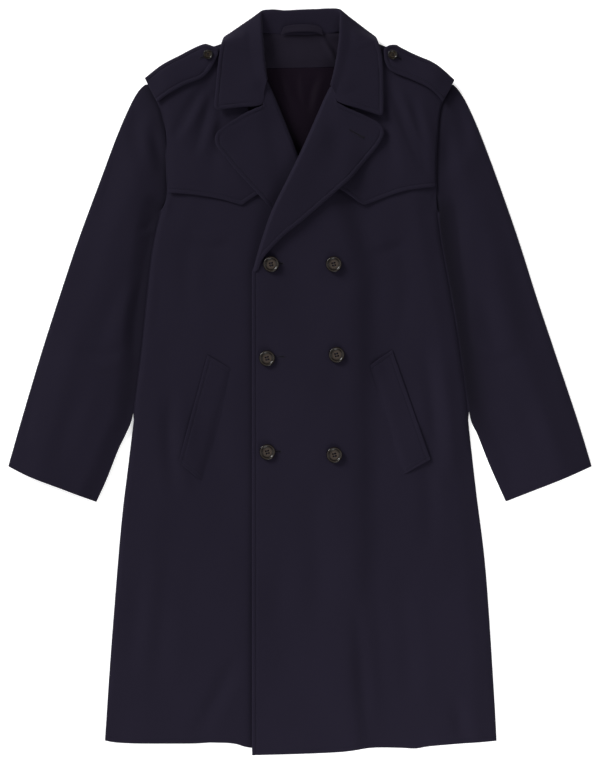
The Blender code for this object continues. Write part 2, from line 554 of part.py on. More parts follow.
def under_sleeve(name, outer, armhole, inner, cuff, mirrored):
    """Under half of a sleeve, flat on the floor and inset from the rounded edges of the top half."""
    side = -1 if mirrored else 1
    outer = curve(moved_in(outer, side * UNDER_INSET), 12)
    inner = curve(moved_in(inner, -side * UNDER_INSET), 12)
    cap = curve(moved_in(armhole, -side * HIDDEN_SEAM_INSET), UNDER_CAP_SHARES)
    if mirrored:
        cap = cap[::-1]
    outer[0], inner[0] = (cap[-1], cap[0]) if mirrored else (cap[0], cap[-1])
    ends = (cap, curve(cuff, 6), inner, outer) if mirrored else (cap, curve(cuff, 6), outer, inner)
    thickness = THICKNESS["sleeve"]
    return sheet(name, with_heights(patch(*ends), thickness / 2), thickness, CLOTH)


def top_sleeve(name, outer, armhole, inner, cuff, mirrored, below):
    """Top half of a sleeve: a strip from the head of its armhole, round to the floor at its long edges."""
    side = -1 if mirrored else 1
    seam = moved_in(armhole, -side * SEAM_GAP)
    inside = edge((seam[SLEEVE_HEAD - 1:], LOW_ARMHOLE_SHARES), (moved_in(inner, -side * EDGE_INSET), 15))
    outside = curve(moved_in(outer, side * EDGE_INSET), shares_along(inside))
    outside[0] = seam[0]
    head = curve(seam[:SLEEVE_HEAD], SLEEVE_COLUMNS)
    opening = curve(cuff, SLEEVE_COLUMNS)
    plan = patch(*((head[::-1], opening, inside, outside) if mirrored else (head, opening, outside, inside)))
    thickness = THICKNESS["sleeve"]
    form = thickness + LAY_GAP + SLEEVE_PUFF + folds(plan[..., 0], plan[..., 1], SLEEVE_FOLDS)
    heights = laid(plan, below, REACH["sleeve"], thickness, form)
    from_inside = distance_to(inside[len(LOW_ARMHOLE_SHARES) - 1:], plan)
    rise = rounded_edge(np.minimum(edge_distance(plan, "right" if mirrored else "left"), from_inside))
    low = thickness / 2 + EDGE_LIFT
    return sheet(name, with_heights(plan, low + (heights - low) * rise), thickness, CLOTH)


def front(name, plan, side, below, under):
    """A front, which rounds down to the floor at its side seam and at its shoulder."""
    thickness = THICKNESS["front"]
    to_side = edge_distance(plan, side)
    form = THICKNESS["back"] + LAY_GAP + BODY_PUFF * soft_step(to_side, BODY_PUFF_WIDTH)
    form = form + folds(plan[..., 0], plan[..., 1], BODY_FOLDS)
    heights = laid(plan, below, REACH["front"], thickness, form)
    low = laid(plan, under, REACH["front_edge"], thickness) + EDGE_LIFT
    free_side = np.clip(np.arange(plan.shape[0]) - (ARMHOLE_ROWS - 1), 0, 2)[:, None] / 2
    rise = (1 - free_side * (1 - rounded_edge(to_side))) * rounded_edge(edge_distance(plan, "top"))
    return sheet(name, with_heights(plan, low + (heights - low) * rise), thickness, CLOTH)


def front_right(below, under):
    """Lower front: armhole and side on its left, neck, roll line and front edge on its right."""
    left = edge((moved_in(RIGHT_ARMHOLE, SEAM_GAP), ARMHOLE_SHARES), (moved_in(RIGHT_SIDE, EDGE_INSET), 22))
    right = edge((RIGHT_NECK, NECK_SHARES), (moved_in(RIGHT_ROLL, -FRONT_ROLL_INSET), ROLL_SHARES),
                 (RIGHT_FRONT_EDGE, 20))
    plan = patch(curve(moved_in(RIGHT_SHOULDER, -EDGE_INSET), FRONT_COLUMNS), curve(RIGHT_HEM, FRONT_COLUMNS),
                 left, right)
    return front("front_right", plan, "left", below, under)


def front_left(below, under):
    """Upper front: the same, the other way round, and lapped over the lower one."""
    columns = [1 - share for share in FRONT_COLUMNS[::-1]]
    left = edge((LEFT_NECK, NECK_SHARES), (moved_in(LEFT_ROLL, FRONT_ROLL_INSET), ROLL_SHARES),
                (LEFT_FRONT_EDGE, 20))
    right = edge((moved_in(LEFT_ARMHOLE, -SEAM_GAP), ARMHOLE_SHARES), (moved_in(LEFT_SIDE, -EDGE_INSET), 22))
    plan = patch(curve(moved_in(LEFT_SHOULDER, -EDGE_INSET), columns), curve(LEFT_HEM, columns), left, right)
    return front("front_left", plan, "right", below, under)


def lapel(name, plan, roll_side, below, floor):
    """A lapel with its facing up: it lies on the front and lifts towards its soft roll line."""
    thickness = THICKNESS["lapel"]
    fade = np.linspace(1, LAPEL_LIFT_AT_BREAK, plan.shape[0])[:, None]
    lift = LAPEL_LIFT * fade * np.exp(-(edge_distance(plan, roll_side) / LAPEL_LIFT_WIDTH) ** 2)
    middle = with_heights(plan, laid(plan, below, REACH["lapel"], thickness) + lift)
    return sheet(name, rolled(middle, roll_side, floor, thickness), thickness, CLOTH)


def lapel_right(below, floor):
    """Lower lapel."""
    inset = ROLL_RADIUS + THICKNESS["lapel"] / 2
    top = edge((RIGHT_LAPEL_TOP[::-1], 5), (RIGHT_GORGE[::-1], 3))
    left = edge((RIGHT_LAPEL_CORNER, 4), (RIGHT_LAPEL_LOW, 10))
    right = curve(moved_in(RIGHT_ROLL, -inset), 14)
    plan = patch(top, straight(left[-1], right[-1], 8), left, right)
    return lapel("lapel_right", plan, "right", below, floor)


def lapel_left(below, floor):
    """Upper lapel."""
    inset = ROLL_RADIUS + THICKNESS["lapel"] / 2
    top = edge((LEFT_GORGE, 3), (LEFT_LAPEL_TOP, 5))
    right = edge((LEFT_LAPEL_CORNER, 4), (LEFT_LAPEL_LOW, 10))
    left = curve(moved_in(LEFT_ROLL, inset), 14)
    plan = patch(top, straight(left[-1], right[-1], 8), left, right)
    return lapel("lapel_left", plan, "left", below, floor)


def storm_flap_right(below):
    """A loose yoke over the lower front's chest, caught in the armhole and shoulder seams."""
    left = curve(moved_in(RIGHT_ARMHOLE[:9], FLAP_INSET), 8)
    right = curve(RIGHT_FLAP_FRONT, 8)
    top = curve(moved_in(RIGHT_SHOULDER, -FLAP_SHOULDER_INSET), 8)
    plan = patch(top, edge((RIGHT_FLAP_HEM, 5), (RIGHT_FLAP_RISE, 3)), left, right)
    return flat_piece("storm_flap_right", "flap", plan, below, CLOTH)


def storm_flap_left(below):
    """The same over the upper front."""
    right = curve(moved_in(LEFT_ARMHOLE[:8], -FLAP_INSET), 8)
    left = curve(LEFT_FLAP_FRONT, 8)
    top = curve(moved_in(LEFT_SHOULDER, -FLAP_SHOULDER_INSET), 8)
    plan = patch(top, edge((LEFT_FLAP_RISE, 3), (LEFT_FLAP_HEM, 5)), left, right)
    return flat_piece("storm_flap_left", "flap", plan, below, CLOTH)


def epaulette(side, top, low, left, right, below):
    """A shoulder strap: two layers of cloth, sewn in at the sleeve and buttoned near the collar."""
    thickness = THICKNESS["epaulette"]
    plan = patch(curve(top, 10), curve(low, 10), curve(left, 4), curve(right, 4))
    across = np.sin(np.linspace(0, math.pi, plan.shape[0]))[:, None]
    heights = laid(plan, below, REACH["epaulette"], thickness) + EPAULETTE_CROWN * across
    return sheet("epaulette_" + side, with_heights(plan, heights), thickness, CLOTH)


def pocket_welt(side, corners, below):
    """A slanting welt over the pocket opening."""
    top_left, top_right, bottom_left, bottom_right = corners
    plan = patch(straight(top_left, top_right, 3), straight(bottom_left, bottom_right, 3),
                 straight(top_left, bottom_left, 9), straight(top_right, bottom_right, 9))
    return flat_piece("pocket_welt_" + side, "welt", plan, below, CLOTH)


def collar(points, below):
    """The collar: its leaf rests on the shoulders in front, and its stand on the neck edges."""
    turns = halved(COLLAR_SECTIONS)[:, 12]
    thickness = THICKNESS["collar"]
    rest = laid(points[..., :2], below, REACH["collar"], thickness)
    in_front = (turns < COLLAR_FRONT_TURN)[:, None]
    points = points.copy()
    points[..., 2] = np.where(in_front, np.maximum(points[..., 2], rest), points[..., 2])
    return sheet("collar", points, thickness, CLOTH)


def hanger_loop(below):
    """A strip of cloth over the neck seam, held at its ends and arched between them."""
    thickness = THICKNESS["loop"]
    share = np.linspace(0, 1, 11)
    (x0, y0), (x1, y1) = LOOP_ENDS
    middle_y = y0 + (y1 - y0) * share + LOOP_RISE * np.sin(math.pi * share)
    offsets = LOOP_WIDTH * np.array([0.5, 0.0, -0.5])[:, None]
    plan = np.dstack([np.broadcast_to(x0 + (x1 - x0) * share, (3, 11)), middle_y + offsets])
    heights = laid(plan, below, REACH["loop"], thickness, gap=SEWN_GAP) + LOOP_LIFT * np.sin(math.pi * share)
    return sheet("hanger_loop", with_heights(plan, heights), thickness, CLOTH_INSIDE)


# ---- Lay the coat, from the floor up -------------------------------------------------------------
for existing in list(bpy.data.objects):
    bpy.data.objects.remove(existing, do_unlink=True)

band = collar_grid()
below_back = slice(2 * COLLAR_BACK[0], 2 * COLLAR_BACK[1] + 1)
leaf_below = {"heights": height_map(band[below_back, 4:] + (0, 0, THICKNESS["collar"] / 2))}

back = back_piece([leaf_below])
facing = neck_facing([back])
lining = back_lining([back])
under_right = under_sleeve("sleeve_under_right", RIGHT_SLEEVE_OUTER, RIGHT_ARMHOLE, RIGHT_SLEEVE_INNER,
                           RIGHT_CUFF, False)
under_left = under_sleeve("sleeve_under_left", LEFT_SLEEVE_OUTER, LEFT_ARMHOLE, LEFT_SLEEVE_INNER,
                          LEFT_CUFF, True)
top_sleeve("sleeve_top_right", RIGHT_SLEEVE_OUTER, RIGHT_ARMHOLE, RIGHT_SLEEVE_INNER, RIGHT_CUFF, False,
           [under_right])
top_sleeve("sleeve_top_left", LEFT_SLEEVE_OUTER, LEFT_ARMHOLE, LEFT_SLEEVE_INNER, LEFT_CUFF, True,
           [under_left])
lower_front = front_right([back, facing, lining], [leaf_below])
lower_flap = storm_flap_right([lower_front])
lower_lapel = lapel_right([lower_front, lower_flap], [facing, lining, back])
upper_front = front_left([back, facing, lining, lower_front, lower_lapel], [leaf_below])
upper_flap = storm_flap_left([upper_front])
lapel_left([upper_front, upper_flap, lower_lapel], [facing, lining, lower_front, lower_lapel])
right_strap = epaulette("right", RIGHT_STRAP_TOP, RIGHT_STRAP_LOW, RIGHT_STRAP_END, RIGHT_STRAP_TIP,
                        [lower_front, lower_flap])
left_strap = epaulette("left", LEFT_STRAP_TOP, LEFT_STRAP_LOW, LEFT_STRAP_TIP, LEFT_STRAP_END,
                       [upper_front, upper_flap])
whole_collar = collar(band, [lower_front, lower_flap, upper_front, upper_flap])
hanger_loop([whole_collar, facing])
pocket_welt("right", RIGHT_WELT, [lower_front])
pocket_welt("left", LEFT_WELT, [upper_front])
for number, centre in enumerate(FRONT_BUTTONS, 1):
    button("front_button_%d" % number, centre, FRONT_BUTTON_DIAMETER, [upper_front])
for (side, centre), strap in zip(EPAULETTE_BUTTONS, (right_strap, left_strap)):
    button("epaulette_button_" + side, centre, EPAULETTE_BUTTON_DIAMETER, [strap])
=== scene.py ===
import math

import bpy
import numpy as np
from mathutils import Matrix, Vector
from mathutils.bvhtree import BVHTree


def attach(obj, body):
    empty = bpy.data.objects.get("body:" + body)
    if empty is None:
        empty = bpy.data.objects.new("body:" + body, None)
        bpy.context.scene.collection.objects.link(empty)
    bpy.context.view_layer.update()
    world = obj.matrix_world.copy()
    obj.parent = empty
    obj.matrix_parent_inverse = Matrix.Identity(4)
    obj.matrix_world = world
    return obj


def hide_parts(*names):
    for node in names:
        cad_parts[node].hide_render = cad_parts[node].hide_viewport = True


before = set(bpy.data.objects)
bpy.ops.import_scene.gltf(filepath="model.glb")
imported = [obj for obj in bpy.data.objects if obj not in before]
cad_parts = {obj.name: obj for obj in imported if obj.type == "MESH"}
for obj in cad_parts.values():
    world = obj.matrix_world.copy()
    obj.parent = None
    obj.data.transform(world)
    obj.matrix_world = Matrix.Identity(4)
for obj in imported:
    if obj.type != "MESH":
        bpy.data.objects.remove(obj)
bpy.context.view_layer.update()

# ---- Under halves of the sleeves ----------------------------------------------------------------
# The coat lies on its back, so the under halves of the two sleeves are its lowest cloth. Each is one
# piece of gabardine with its cuff turned in, sewn to the top half down both sides and to the armhole.
# All sizes are in millimetres: +X to the viewer's right, +Y to the collar, +Z up off the surface.
MM = 0.001
SLEEVE_WALL = 1.8
UNDER_INSET = 6.0       # the lower layer stops short of a side edge, where the upper one rounds over it
ARMHOLE_TURNING = 5.0   # seam allowance of the under sleeve, which lies under the back
LAY_AIR = 0.6           # air between two layers
NAVY = (0.0086, 0.0070, 0.0142)
TOWARD = {"right": 1, "left": -1}    # the wearer's sides, and the way from each to the coat's middle
# Each sleeve's fold is how strongly shade is painted along the valley by the body, 0 to 1.
SLEEVES = {
    "right": {
        "armhole": ((-244, 477), (-233, 459), (-226.5, 443), (-221.5, 430.5), (-217.5, 411), (-215, 389),
                    (-214, 361.5), (-213, 329.5), (-212, 302.5), (-214.5, 286.5), (-221.5, 270.5)),
        "outer": ((-244, 477), (-257, 465.5), (-271, 441.5), (-292, 393.5), (-319, 321.5), (-354.5, 225.5),
                  (-386.5, 129.5), (-417, 33.5), (-445.5, -62.5), (-466.5, -136)),
        "inner": ((-221.5, 270.5), (-228, 245), (-236, 203), (-242.5, 147), (-252, 54.5), (-261.5, -21),
                  (-267, -61), (-277.5, -86.5), (-289, -110.5), (-308, -158.5), (-324, -193.5)),
        "cuff": ((-466.5, -136), (-431, -153), (-377, -173.5), (-324, -193.5)),
        "grain": math.radians(-18), "valley": 34, "puff": 8.0, "fold": 0.36,
    },
    "left": {
        "armhole": ((244, 477), (234.5, 457.5), (228, 443), (225, 430.5), (222, 401.5), (219.5, 369.5),
                    (218.5, 337.5), (219, 310.5), (219, 289.5), (221, 269)),
        "outer": ((244, 477), (255, 465.5), (269.5, 441.5), (290.5, 393.5), (317.5, 321.5), (351, 225.5),
                  (381.5, 129.5), (413.5, 33.5), (445.5, -62.5), (468, -136)),
        "inner": ((221, 269), (226.5, 225.5), (236, 173), (249, 101), (258.5, 38.5), (266.5, -21),
                  (273, -62.5), (284, -86.5), (303, -134.5), (329, -193)),
        "cuff": ((468, -136), (433, -151), (381.5, -172), (329, -193)),
        "grain": math.radians(18), "valley": 100, "puff": 8.5, "fold": 0.72,
    },
}
# Points crowd towards a cut edge, and round the line of sewing beside a stitched one.
STITCH_IN = 6.2
PLAIN_EDGE = (0, 0.3, 0.8, 1.6, 3.0)
STITCHED_EDGE = (*PLAIN_EDGE, 4.4, 5.4, 5.9, 6.4, 7.0, 8.2, 10.2)
SIDES = ("left", "right", "top", "bottom")
RIM_ROUND, RIM_LEAST = 0.75, 0.06    # a cut edge's rounding, as shares of the wall
LEAST_WALL = 0.2


def length_to(points):
    """Length of a line up to each of its points."""
    return np.concatenate([[0], np.cumsum(np.linalg.norm(np.diff(points, axis=0), axis=1))])


def points_at(at, length, points):
    """A line's points at some lengths along it."""
    return np.column_stack([np.interp(at, length, column) for column in points.T])


def even(points, spacing):
    """A line's points, a spacing apart."""
    points = np.array(points, float)
    length = length_to(points)
    return points_at(np.linspace(0, length[-1], max(2, int(round(length[-1] / spacing)) + 1)), length, points)


def smoothed(points, steps):
    """More points, or rows of points, on smooth curves through those given."""
    padded = np.concatenate([2 * points[:1] - points[1:2], points, 2 * points[-1:] - points[-2:-1]])
    t = np.linspace(0, 1, steps + 1)[:-1].reshape(-1, *[1] * (points.ndim - 1))
    spans = [0.5 * (2 * b + (c - a) * t + (2 * a - 5 * b + 4 * c - d) * t ** 2 + (3 * b - a - 3 * c + d) * t ** 3)
             for a, b, c, d in zip(padded, padded[1:], padded[2:], padded[3:])]
    return np.concatenate(spans + [points[-1:]])


def curve(knots, spacing=2.0):
    """Points a spacing apart on a smooth curve through its knots."""
    return even(smoothed(np.array(knots, float), 24), spacing)


def joined(*spans):
    """Smooth spans set end to end, with a corner between each two."""
    curves = [curve(span) for span in spans]
    return np.vstack([part[:-1] for part in curves[:-1]] + [curves[-1]])


def moved_in(points, distance):
    """A line shifted sideways, to the left of its direction."""
    points = np.array(points, float)
    along = np.gradient(points, axis=0)
    along /= np.linalg.norm(along, axis=1)[:, None]
    return points + np.reshape(distance, (-1, 1)) * np.column_stack([-along[:, 1], along[:, 0]])


def resampled(points, shares):
    """A line's points at the given shares of its length."""
    length = length_to(points)
    return points_at(shares, length / length[-1], points)


def respaced(grid, spacing, near_start, near_end):
    """Rows of a grid with their points a spacing apart, and at fixed distances from both ends."""
    lengths = np.linalg.norm(np.diff(grid, axis=1), axis=2).sum(axis=1)
    inner = max(3, int(round((lengths.max() - near_start[-1] - near_end[-1]) / spacing)))
    rows = []
    for row, length in zip(grid, lengths):
        squeeze = min(1, 0.8 * length / max(near_start[-1] + near_end[-1], 0.1))
        first, last = squeeze * np.array(near_start), length - squeeze * np.array(near_end)[::-1]
        at = np.concatenate([first, np.linspace(first[-1], last[0], inner + 1)[1:-1], last])
        rows.append(resampled(row, at / length))
    return np.array(rows)


def spread_out(top, bottom, left, right, spacing=5.0, stitched=(), smooth=()):
    """Fill four edges with a plan grid: rows from top to bottom, columns from left to right."""
    across = np.linspace(0, 1, 1 + int(max(len(top), len(bottom))))
    down = np.linspace(0, 1, 1 + int(max(len(left), len(right))))
    top, bottom = resampled(top, across), resampled(bottom, across)
    left, right = resampled(left, down), resampled(right, down)
    top[0], top[-1], bottom[0], bottom[-1] = left[0], right[0], left[-1], right[-1]
    s, t = across[None, :, None], down[:, None, None]
    corners = (1 - t) * ((1 - s) * top[0] + s * top[-1]) + t * ((1 - s) * bottom[0] + s * bottom[-1])
    grid = (1 - t) * top[None] + t * bottom[None] + (1 - s) * left[:, None] + s * right[:, None] - corners
    near = {side: PLAIN_EDGE for side in SIDES}
    near.update({side: STITCHED_EDGE for side in stitched})
    near.update({side: (0,) for side in smooth})
    grid = respaced(grid, spacing, near["left"], near["right"])
    return respaced(grid.transpose(1, 0, 2), spacing, near["top"], near["bottom"]).transpose(1, 0, 2)


def sided_plan(side, top, bottom, outer, inner, spacing, stitched=(), smooth=()):
    """Plan grid of a piece with a twin on the coat's other side. Its top and bottom run to the middle."""
    way = TOWARD[side]
    names = dict(zip(("outer", "inner"), ("left", "right")[::way]))
    stitched, smooth = [[names.get(edge, edge) for edge in edges] for edges in (stitched, smooth)]
    return spread_out(top[::way], bottom[::way], *(outer, inner)[::way], spacing, stitched, smooth)


def strip_plan(top, low, spacing, step=2):
    """Plan grid of a strip between two curved edges, with straight ends."""
    ends = [even((top[i], low[i]), step) for i in (0, -1)]
    return spread_out(curve(top), curve(low), *ends, spacing)


def distance_to(line, plan):
    """Distance of plan points from a line."""
    nearest = np.full(plan.shape[:-1], 1e9)
    for a, b in zip(line[:-1, :2], line[1:, :2]):
        run = b - a
        share = np.clip(((plan[..., :2] - a) @ run) / max(run @ run, 1e-9), 0, 1)
        gap = plan[..., :2] - a - share[..., None] * run
        nearest = np.minimum(nearest, np.einsum("...i,...i", gap, gap))
    return np.sqrt(nearest)


def fade(distance, width):
    """1 at nought, falling softly to nothing over about two widths."""
    return np.exp(-(distance / width) ** 2)


def from_side(grid, side):
    """Distance of each point of a grid from one of its four sides, along its row or column."""
    border = {"left": grid[:, :1], "right": grid[:, -1:], "top": grid[:1], "bottom": grid[-1:]}[side]
    return np.linalg.norm((grid - border)[..., :2], axis=2)


# Heights of the cloth laid so far are kept on a plan of small cells.
CELL = 3.0
PLAN_X = np.arange(-498, 499, CELL)
PLAN_Y = np.arange(-627, 628, CELL)


def height_map(surface):
    """Heights of a piece's upper side on the plan cells, with the floor where it isn't."""
    longest = max(np.abs(np.diff(surface[..., :2], axis=axis)).max() for axis in (0, 1))
    fold = int(math.ceil(longest / (0.6 * CELL)))
    rows, columns = [np.linspace(0, n - 1, (n - 1) * fold + 1) for n in surface.shape[:2]]
    r, c = [np.minimum(at.astype(int), n - 2) for at, n in zip((rows, columns), surface.shape[:2])]
    fr, fc = (rows - r)[:, None, None], (columns - c)[None, :, None]
    near = (1 - fc) * surface[r][:, c] + fc * surface[r][:, c + 1]
    far = (1 - fc) * surface[r + 1][:, c] + fc * surface[r + 1][:, c + 1]
    fine = ((1 - fr) * near + fr * far).reshape(-1, 3)
    heights = np.zeros((len(PLAN_Y), len(PLAN_X)))
    ix = np.rint((fine[:, 0] - PLAN_X[0]) / CELL).astype(int)
    iy = np.rint((fine[:, 1] - PLAN_Y[0]) / CELL).astype(int)
    np.maximum.at(heights, (iy, ix), fine[:, 2])
    return heights


def bed(below, reach):
    """The soft surface that the laid pieces make for the next one, which bridges over a reach."""
    cells = max(1, int(math.ceil(reach / CELL)))
    surface = np.maximum.reduce([piece["heights"] for piece in below])
    for axis in (0, 1):
        surface = np.maximum.reduce([np.roll(surface, shift, axis) for shift in range(-cells, cells + 1)])
    for axis in (0, 1, 0, 1):
        shifts = range(-(cells // 2), cells // 2 + 1)
        surface = np.mean([np.roll(surface, shift, axis) for shift in shifts], axis=0)
    return surface


def resting(plan, below, reach, wall):
    """Middle heights of a piece that lies on the pieces below it."""
    if not below:
        return np.full(plan.shape[:2], wall / 2)
    heights = bed(below, reach)
    fx, fy = (plan[..., 0] - PLAN_X[0]) / CELL, (plan[..., 1] - PLAN_Y[0]) / CELL
    ix, iy = np.floor(fx).astype(int), np.floor(fy).astype(int)
    fx, fy = fx - ix, fy - iy
    low = (1 - fx) * heights[iy, ix] + fx * heights[iy, ix + 1]
    high = (1 - fx) * heights[iy + 1, ix] + fx * heights[iy + 1, ix + 1]
    rest = (1 - fy) * low + fy * high
    return rest + LAY_AIR * np.clip(rest, 0, 1) + wall / 2


def placed(name, data):
    """A new object in the scene."""
    item = bpy.data.objects.new(name, data)
    bpy.context.scene.collection.objects.link(item)
    return item


def mesh_object(name, points, faces, finish):
    """A smooth mesh from points in millimetres."""
    mesh = bpy.data.meshes.new(name)
    mesh.from_pydata((np.asarray(points) * MM).tolist(), [], faces)
    mesh.materials.append(finish)
    mesh.shade_smooth()
    return placed(name, mesh)


def quads(rows, columns):
    """The faces of a grid of points."""
    a = (np.arange(rows - 1)[:, None] * columns + np.arange(columns - 1)).ravel()
    return np.column_stack([a, a + columns, a + columns + 1, a + 1])


def fixed(piece):
    """Fix a piece to the coat."""
    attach(piece, "root")


def cloth_piece(node, middle, wall, finish, painted_fold_shade=None):
    """A wall of cloth round a grid of middle points, thinned to a rounded rim along its edges.

    It stands for a node, and was cut to this width and length. wall is one thickness, or one for each
    point. The last argument gives the shade painted on each point in a fold, 0 to 1."""
    normals = np.cross(np.gradient(middle, axis=0), np.gradient(middle, axis=1))
    normals /= np.maximum(np.linalg.norm(normals, axis=2), 1e-9)[..., None]
    to_rim = np.minimum.reduce([from_side(middle, side) for side in SIDES])
    bulge = 1 - np.clip(to_rim / (RIM_ROUND * wall), 0, 1)
    half = (0.5 * wall * np.sqrt(np.maximum(1 - bulge ** 2, RIM_LEAST)))[..., None]
    upper, lower = middle + half * normals, middle - half * normals
    lower[..., 2] = np.maximum(lower[..., 2], 0)
    upper[..., 2] = np.maximum(upper[..., 2], lower[..., 2] + LEAST_WALL)
    index = np.arange(middle[..., 0].size).reshape(middle.shape[:2])
    rim = np.concatenate([index[0], index[1:, -1], index[-1, -2::-1], index[-2:0:-1, 0]]).tolist()
    top_faces, below = quads(*index.shape), index.size
    faces = top_faces.tolist() + (top_faces[:, [0, 3, 2, 1]] + below).tolist()
    faces += [(p, q, below + q, below + p) for p, q in zip(rim, rim[1:] + rim[:1])]
    piece = mesh_object(node + "_cloth", np.vstack([upper.reshape(-1, 3), lower.reshape(-1, 3)]), faces, finish)
    # The distance from the rim and the painted fold shade are kept as point attributes for the finish.
    for mark, values in (("from_edge", to_rim), ("painted_fold_shade", painted_fold_shade)):
        if values is not None:
            attribute = piece.data.attributes.new(mark, "FLOAT", "POINT")
            attribute.data.foreach_set("value", np.tile(values.ravel(), 2).astype(np.float32))
    fixed(piece)
    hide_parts(node)
    return {"piece": piece, "heights": height_map(upper), "upper": upper}


def new_finish(name, values):
    """A new material, its nodes and its shader, with the values that are the same all over."""
    finish = bpy.data.materials.new(name)
    finish.use_nodes = True
    shader = finish.node_tree.nodes["Principled BSDF"]
    for socket, value in values.items():
        shader.inputs[socket].default_value = value
    return finish, finish.node_tree, shader


def add_node(tree, kind, inputs=(), **settings):
    """A shader node with its settings, input values and links."""
    result = tree.nodes.new(kind)
    for name, value in settings.items():
        setattr(result, name, value)
    for name, value in dict(inputs).items():
        if isinstance(value, bpy.types.NodeSocket):
            tree.links.new(value, result.inputs[name])
        else:
            result.inputs[name].default_value = value
    return result


def noise(tree, place, scale, detail, **more):
    """Cloudy noise, 0 to 1."""
    inputs = {"Vector": place, "Scale": scale, "Detail": detail, **more}
    return add_node(tree, "ShaderNodeTexNoise", inputs).outputs["Fac"]


def mixed(tree, share, first, second, **settings):
    """A colour between two, by a share."""
    return add_node(tree, "ShaderNodeMix", {0: share, 6: first, 7: second}, data_type="RGBA", **settings).outputs[2]


def between(tree, value, start, end, low, high):
    """A value spread from one range to another."""
    return add_node(tree, "ShaderNodeMapRange", {"Value": value, "From Min": start, "From Max": end,
                                                 "To Min": low, "To Max": high}).outputs["Result"]


def toned(colour, share):
    """A colour made deeper or paler."""
    return (*[share * c for c in colour], 1)


TWILL_LEAN = math.radians(27)     # how far the twill's ribs lean from the way the cloth is cut


def gabardine(name, colour, grain=0.0, gloss=0.85, nap=0.03, twill=520, ribs=0.00006):
    """Worsted gabardine: steep fine twill, a slightly mottled dye, a soft nap.

    It is painted paler along its rims, partly as wear and partly as a painted highlight on the rounded edges, and
    painted darker in its folds as painted shade."""
    finish, tree, shader = new_finish(name, {"Specular IOR Level": 0.06, "Sheen Weight": nap,
                                             "Sheen Roughness": 0.5, "Sheen Tint": (0.85, 0.82, 1.0, 1)})
    place = add_node(tree, "ShaderNodeTexCoord").outputs["Object"]
    turned = add_node(tree, "ShaderNodeMapping", {"Vector": place, "Rotation": (0, 0, grain + TWILL_LEAN)})
    ridges = add_node(tree, "ShaderNodeTexWave", {"Vector": turned.outputs["Vector"], "Scale": twill,
                                                  "Distortion": 0.6, "Detail": 1.0}).outputs["Fac"]
    clouds, flecks, pucker = [noise(tree, place, *size) for size in ((7, 3), (420, 2), (55, 2))]
    dyed = mixed(tree, clouds, toned(colour, 0.84), toned(colour, 1.16))
    mottled = mixed(tree, flecks, dyed, toned(colour, 1.25))
    from_edge, painted_fold_shade = [add_node(tree, "ShaderNodeAttribute", attribute_name=mark).outputs["Fac"]
                          for mark in ("from_edge", "painted_fold_shade")]
    # Paler along the rims: partly wear, partly a painted highlight on the rounded edges.
    worn = mixed(tree, between(tree, from_edge, 0.2, 1.6, 0.4, 0.0), mottled, toned(colour, 1.6))
    # Painted shade: the colour darkens where the fold shade attribute is high.
    worn = mixed(tree, painted_fold_shade, worn, toned(colour, 0.3))
    tree.links.new(worn, shader.inputs["Base Color"])
    tree.links.new(between(tree, flecks, 0, 1, gloss - 0.06, gloss + 0.06), shader.inputs["Roughness"])
    bumps = None
    for height, distance, strength in ((pucker, 0.0003, 0.5), (ridges, ribs, 0.6), (flecks, 0.00005, 0.4)):
        inputs = {"Height": height, "Distance": distance, "Strength": strength}
        if bumps:
            inputs["Normal"] = bumps
        bumps = add_node(tree, "ShaderNodeBump", inputs).outputs["Normal"]
    tree.links.new(bumps, shader.inputs["Normal"])
    return finish


sleeve_cloth = {side: gabardine("gabardine_sleeve_" + side, NAVY, cut["grain"]) for side, cut in SLEEVES.items()}
under_sleeves = {}
for side, toward in TOWARD.items():
    cut = SLEEVES[side]
    cap = moved_in(curve(cut["armhole"]), toward * ARMHOLE_TURNING)
    outer = moved_in(curve(cut["outer"]), toward * UNDER_INSET)
    inner = moved_in(curve(cut["inner"]), -toward * UNDER_INSET)
    outer[0], inner[0] = cap[0], cap[-1]
    plan = sided_plan(side, cap, curve(cut["cuff"]), outer, inner, 9.0)
    middle = np.dstack([plan, resting(plan, [], 0, SLEEVE_WALL)])
    under_sleeves[side] = cloth_piece("sleeve_under_" + side, middle, SLEEVE_WALL, sleeve_cloth[side])

# ---- Back -----------------------------------------------------------------------------------------
# One plain piece of gabardine, which lies on the floor and on the back of the collar's leaf. It runs a
# little past the sleeves' inner edges, where the side seams' turnings lie, and stops inside the skirt.
BACK_WALL = 1.8
SHOULDER = {
    "right": ((-244, 477), (-223, 492), (-191, 511), (-165.5, 525), (-143, 533), (-124, 539.5), (-96, 550)),
    "left": ((97, 551), (124, 540.5), (145, 532), (164, 526), (193, 511), (225, 493), (244, 477)),
}
SIDE_SEAM = {    # its first six knots are those of the sleeve's inner edge
    "right": SLEEVES["right"]["inner"][:6] + ((-266.5, -69), (-274.5, -134.5), (-286.5, -238.5),
                                              (-301.5, -422.5), (-312, -575)),
    "left": SLEEVES["left"]["inner"][:6] + ((273, -86.5), (284, -182.5), (298.5, -302.5), (310.5, -478.5),
                                            (316, -575)),
}
BACK_NECK = ((-92, 549), (0, 547), (94, 550))
BACK_HEM_Y = -580
SIDE_TURNING = 7.0            # how far the back runs under the sleeves
SIDE_TURNING_Y = (-80, -20)   # where it has stopped, and where it is full
SKIRT_INSET = 4.0
COLLAR_LEAF_Y = (526, 560)    # the back of the collar's leaf lies under the back between these
COLLAR_LEAF_HALF_WIDTH, COLLAR_LEAF_UP = 112, 0.2
BACK_REACH = 9
COLLAR_WALL = 2.4


def back_side(side):
    """One long edge of the back: the armhole, then the side seam with its turning, then the skirt."""
    line = curve(SIDE_SEAM[side])
    shift = np.interp(line[:, 1], SIDE_TURNING_Y, (SKIRT_INSET, -SIDE_TURNING))
    return np.vstack([curve(SLEEVES[side]["armhole"]), moved_in(line, TOWARD[side] * shift)])


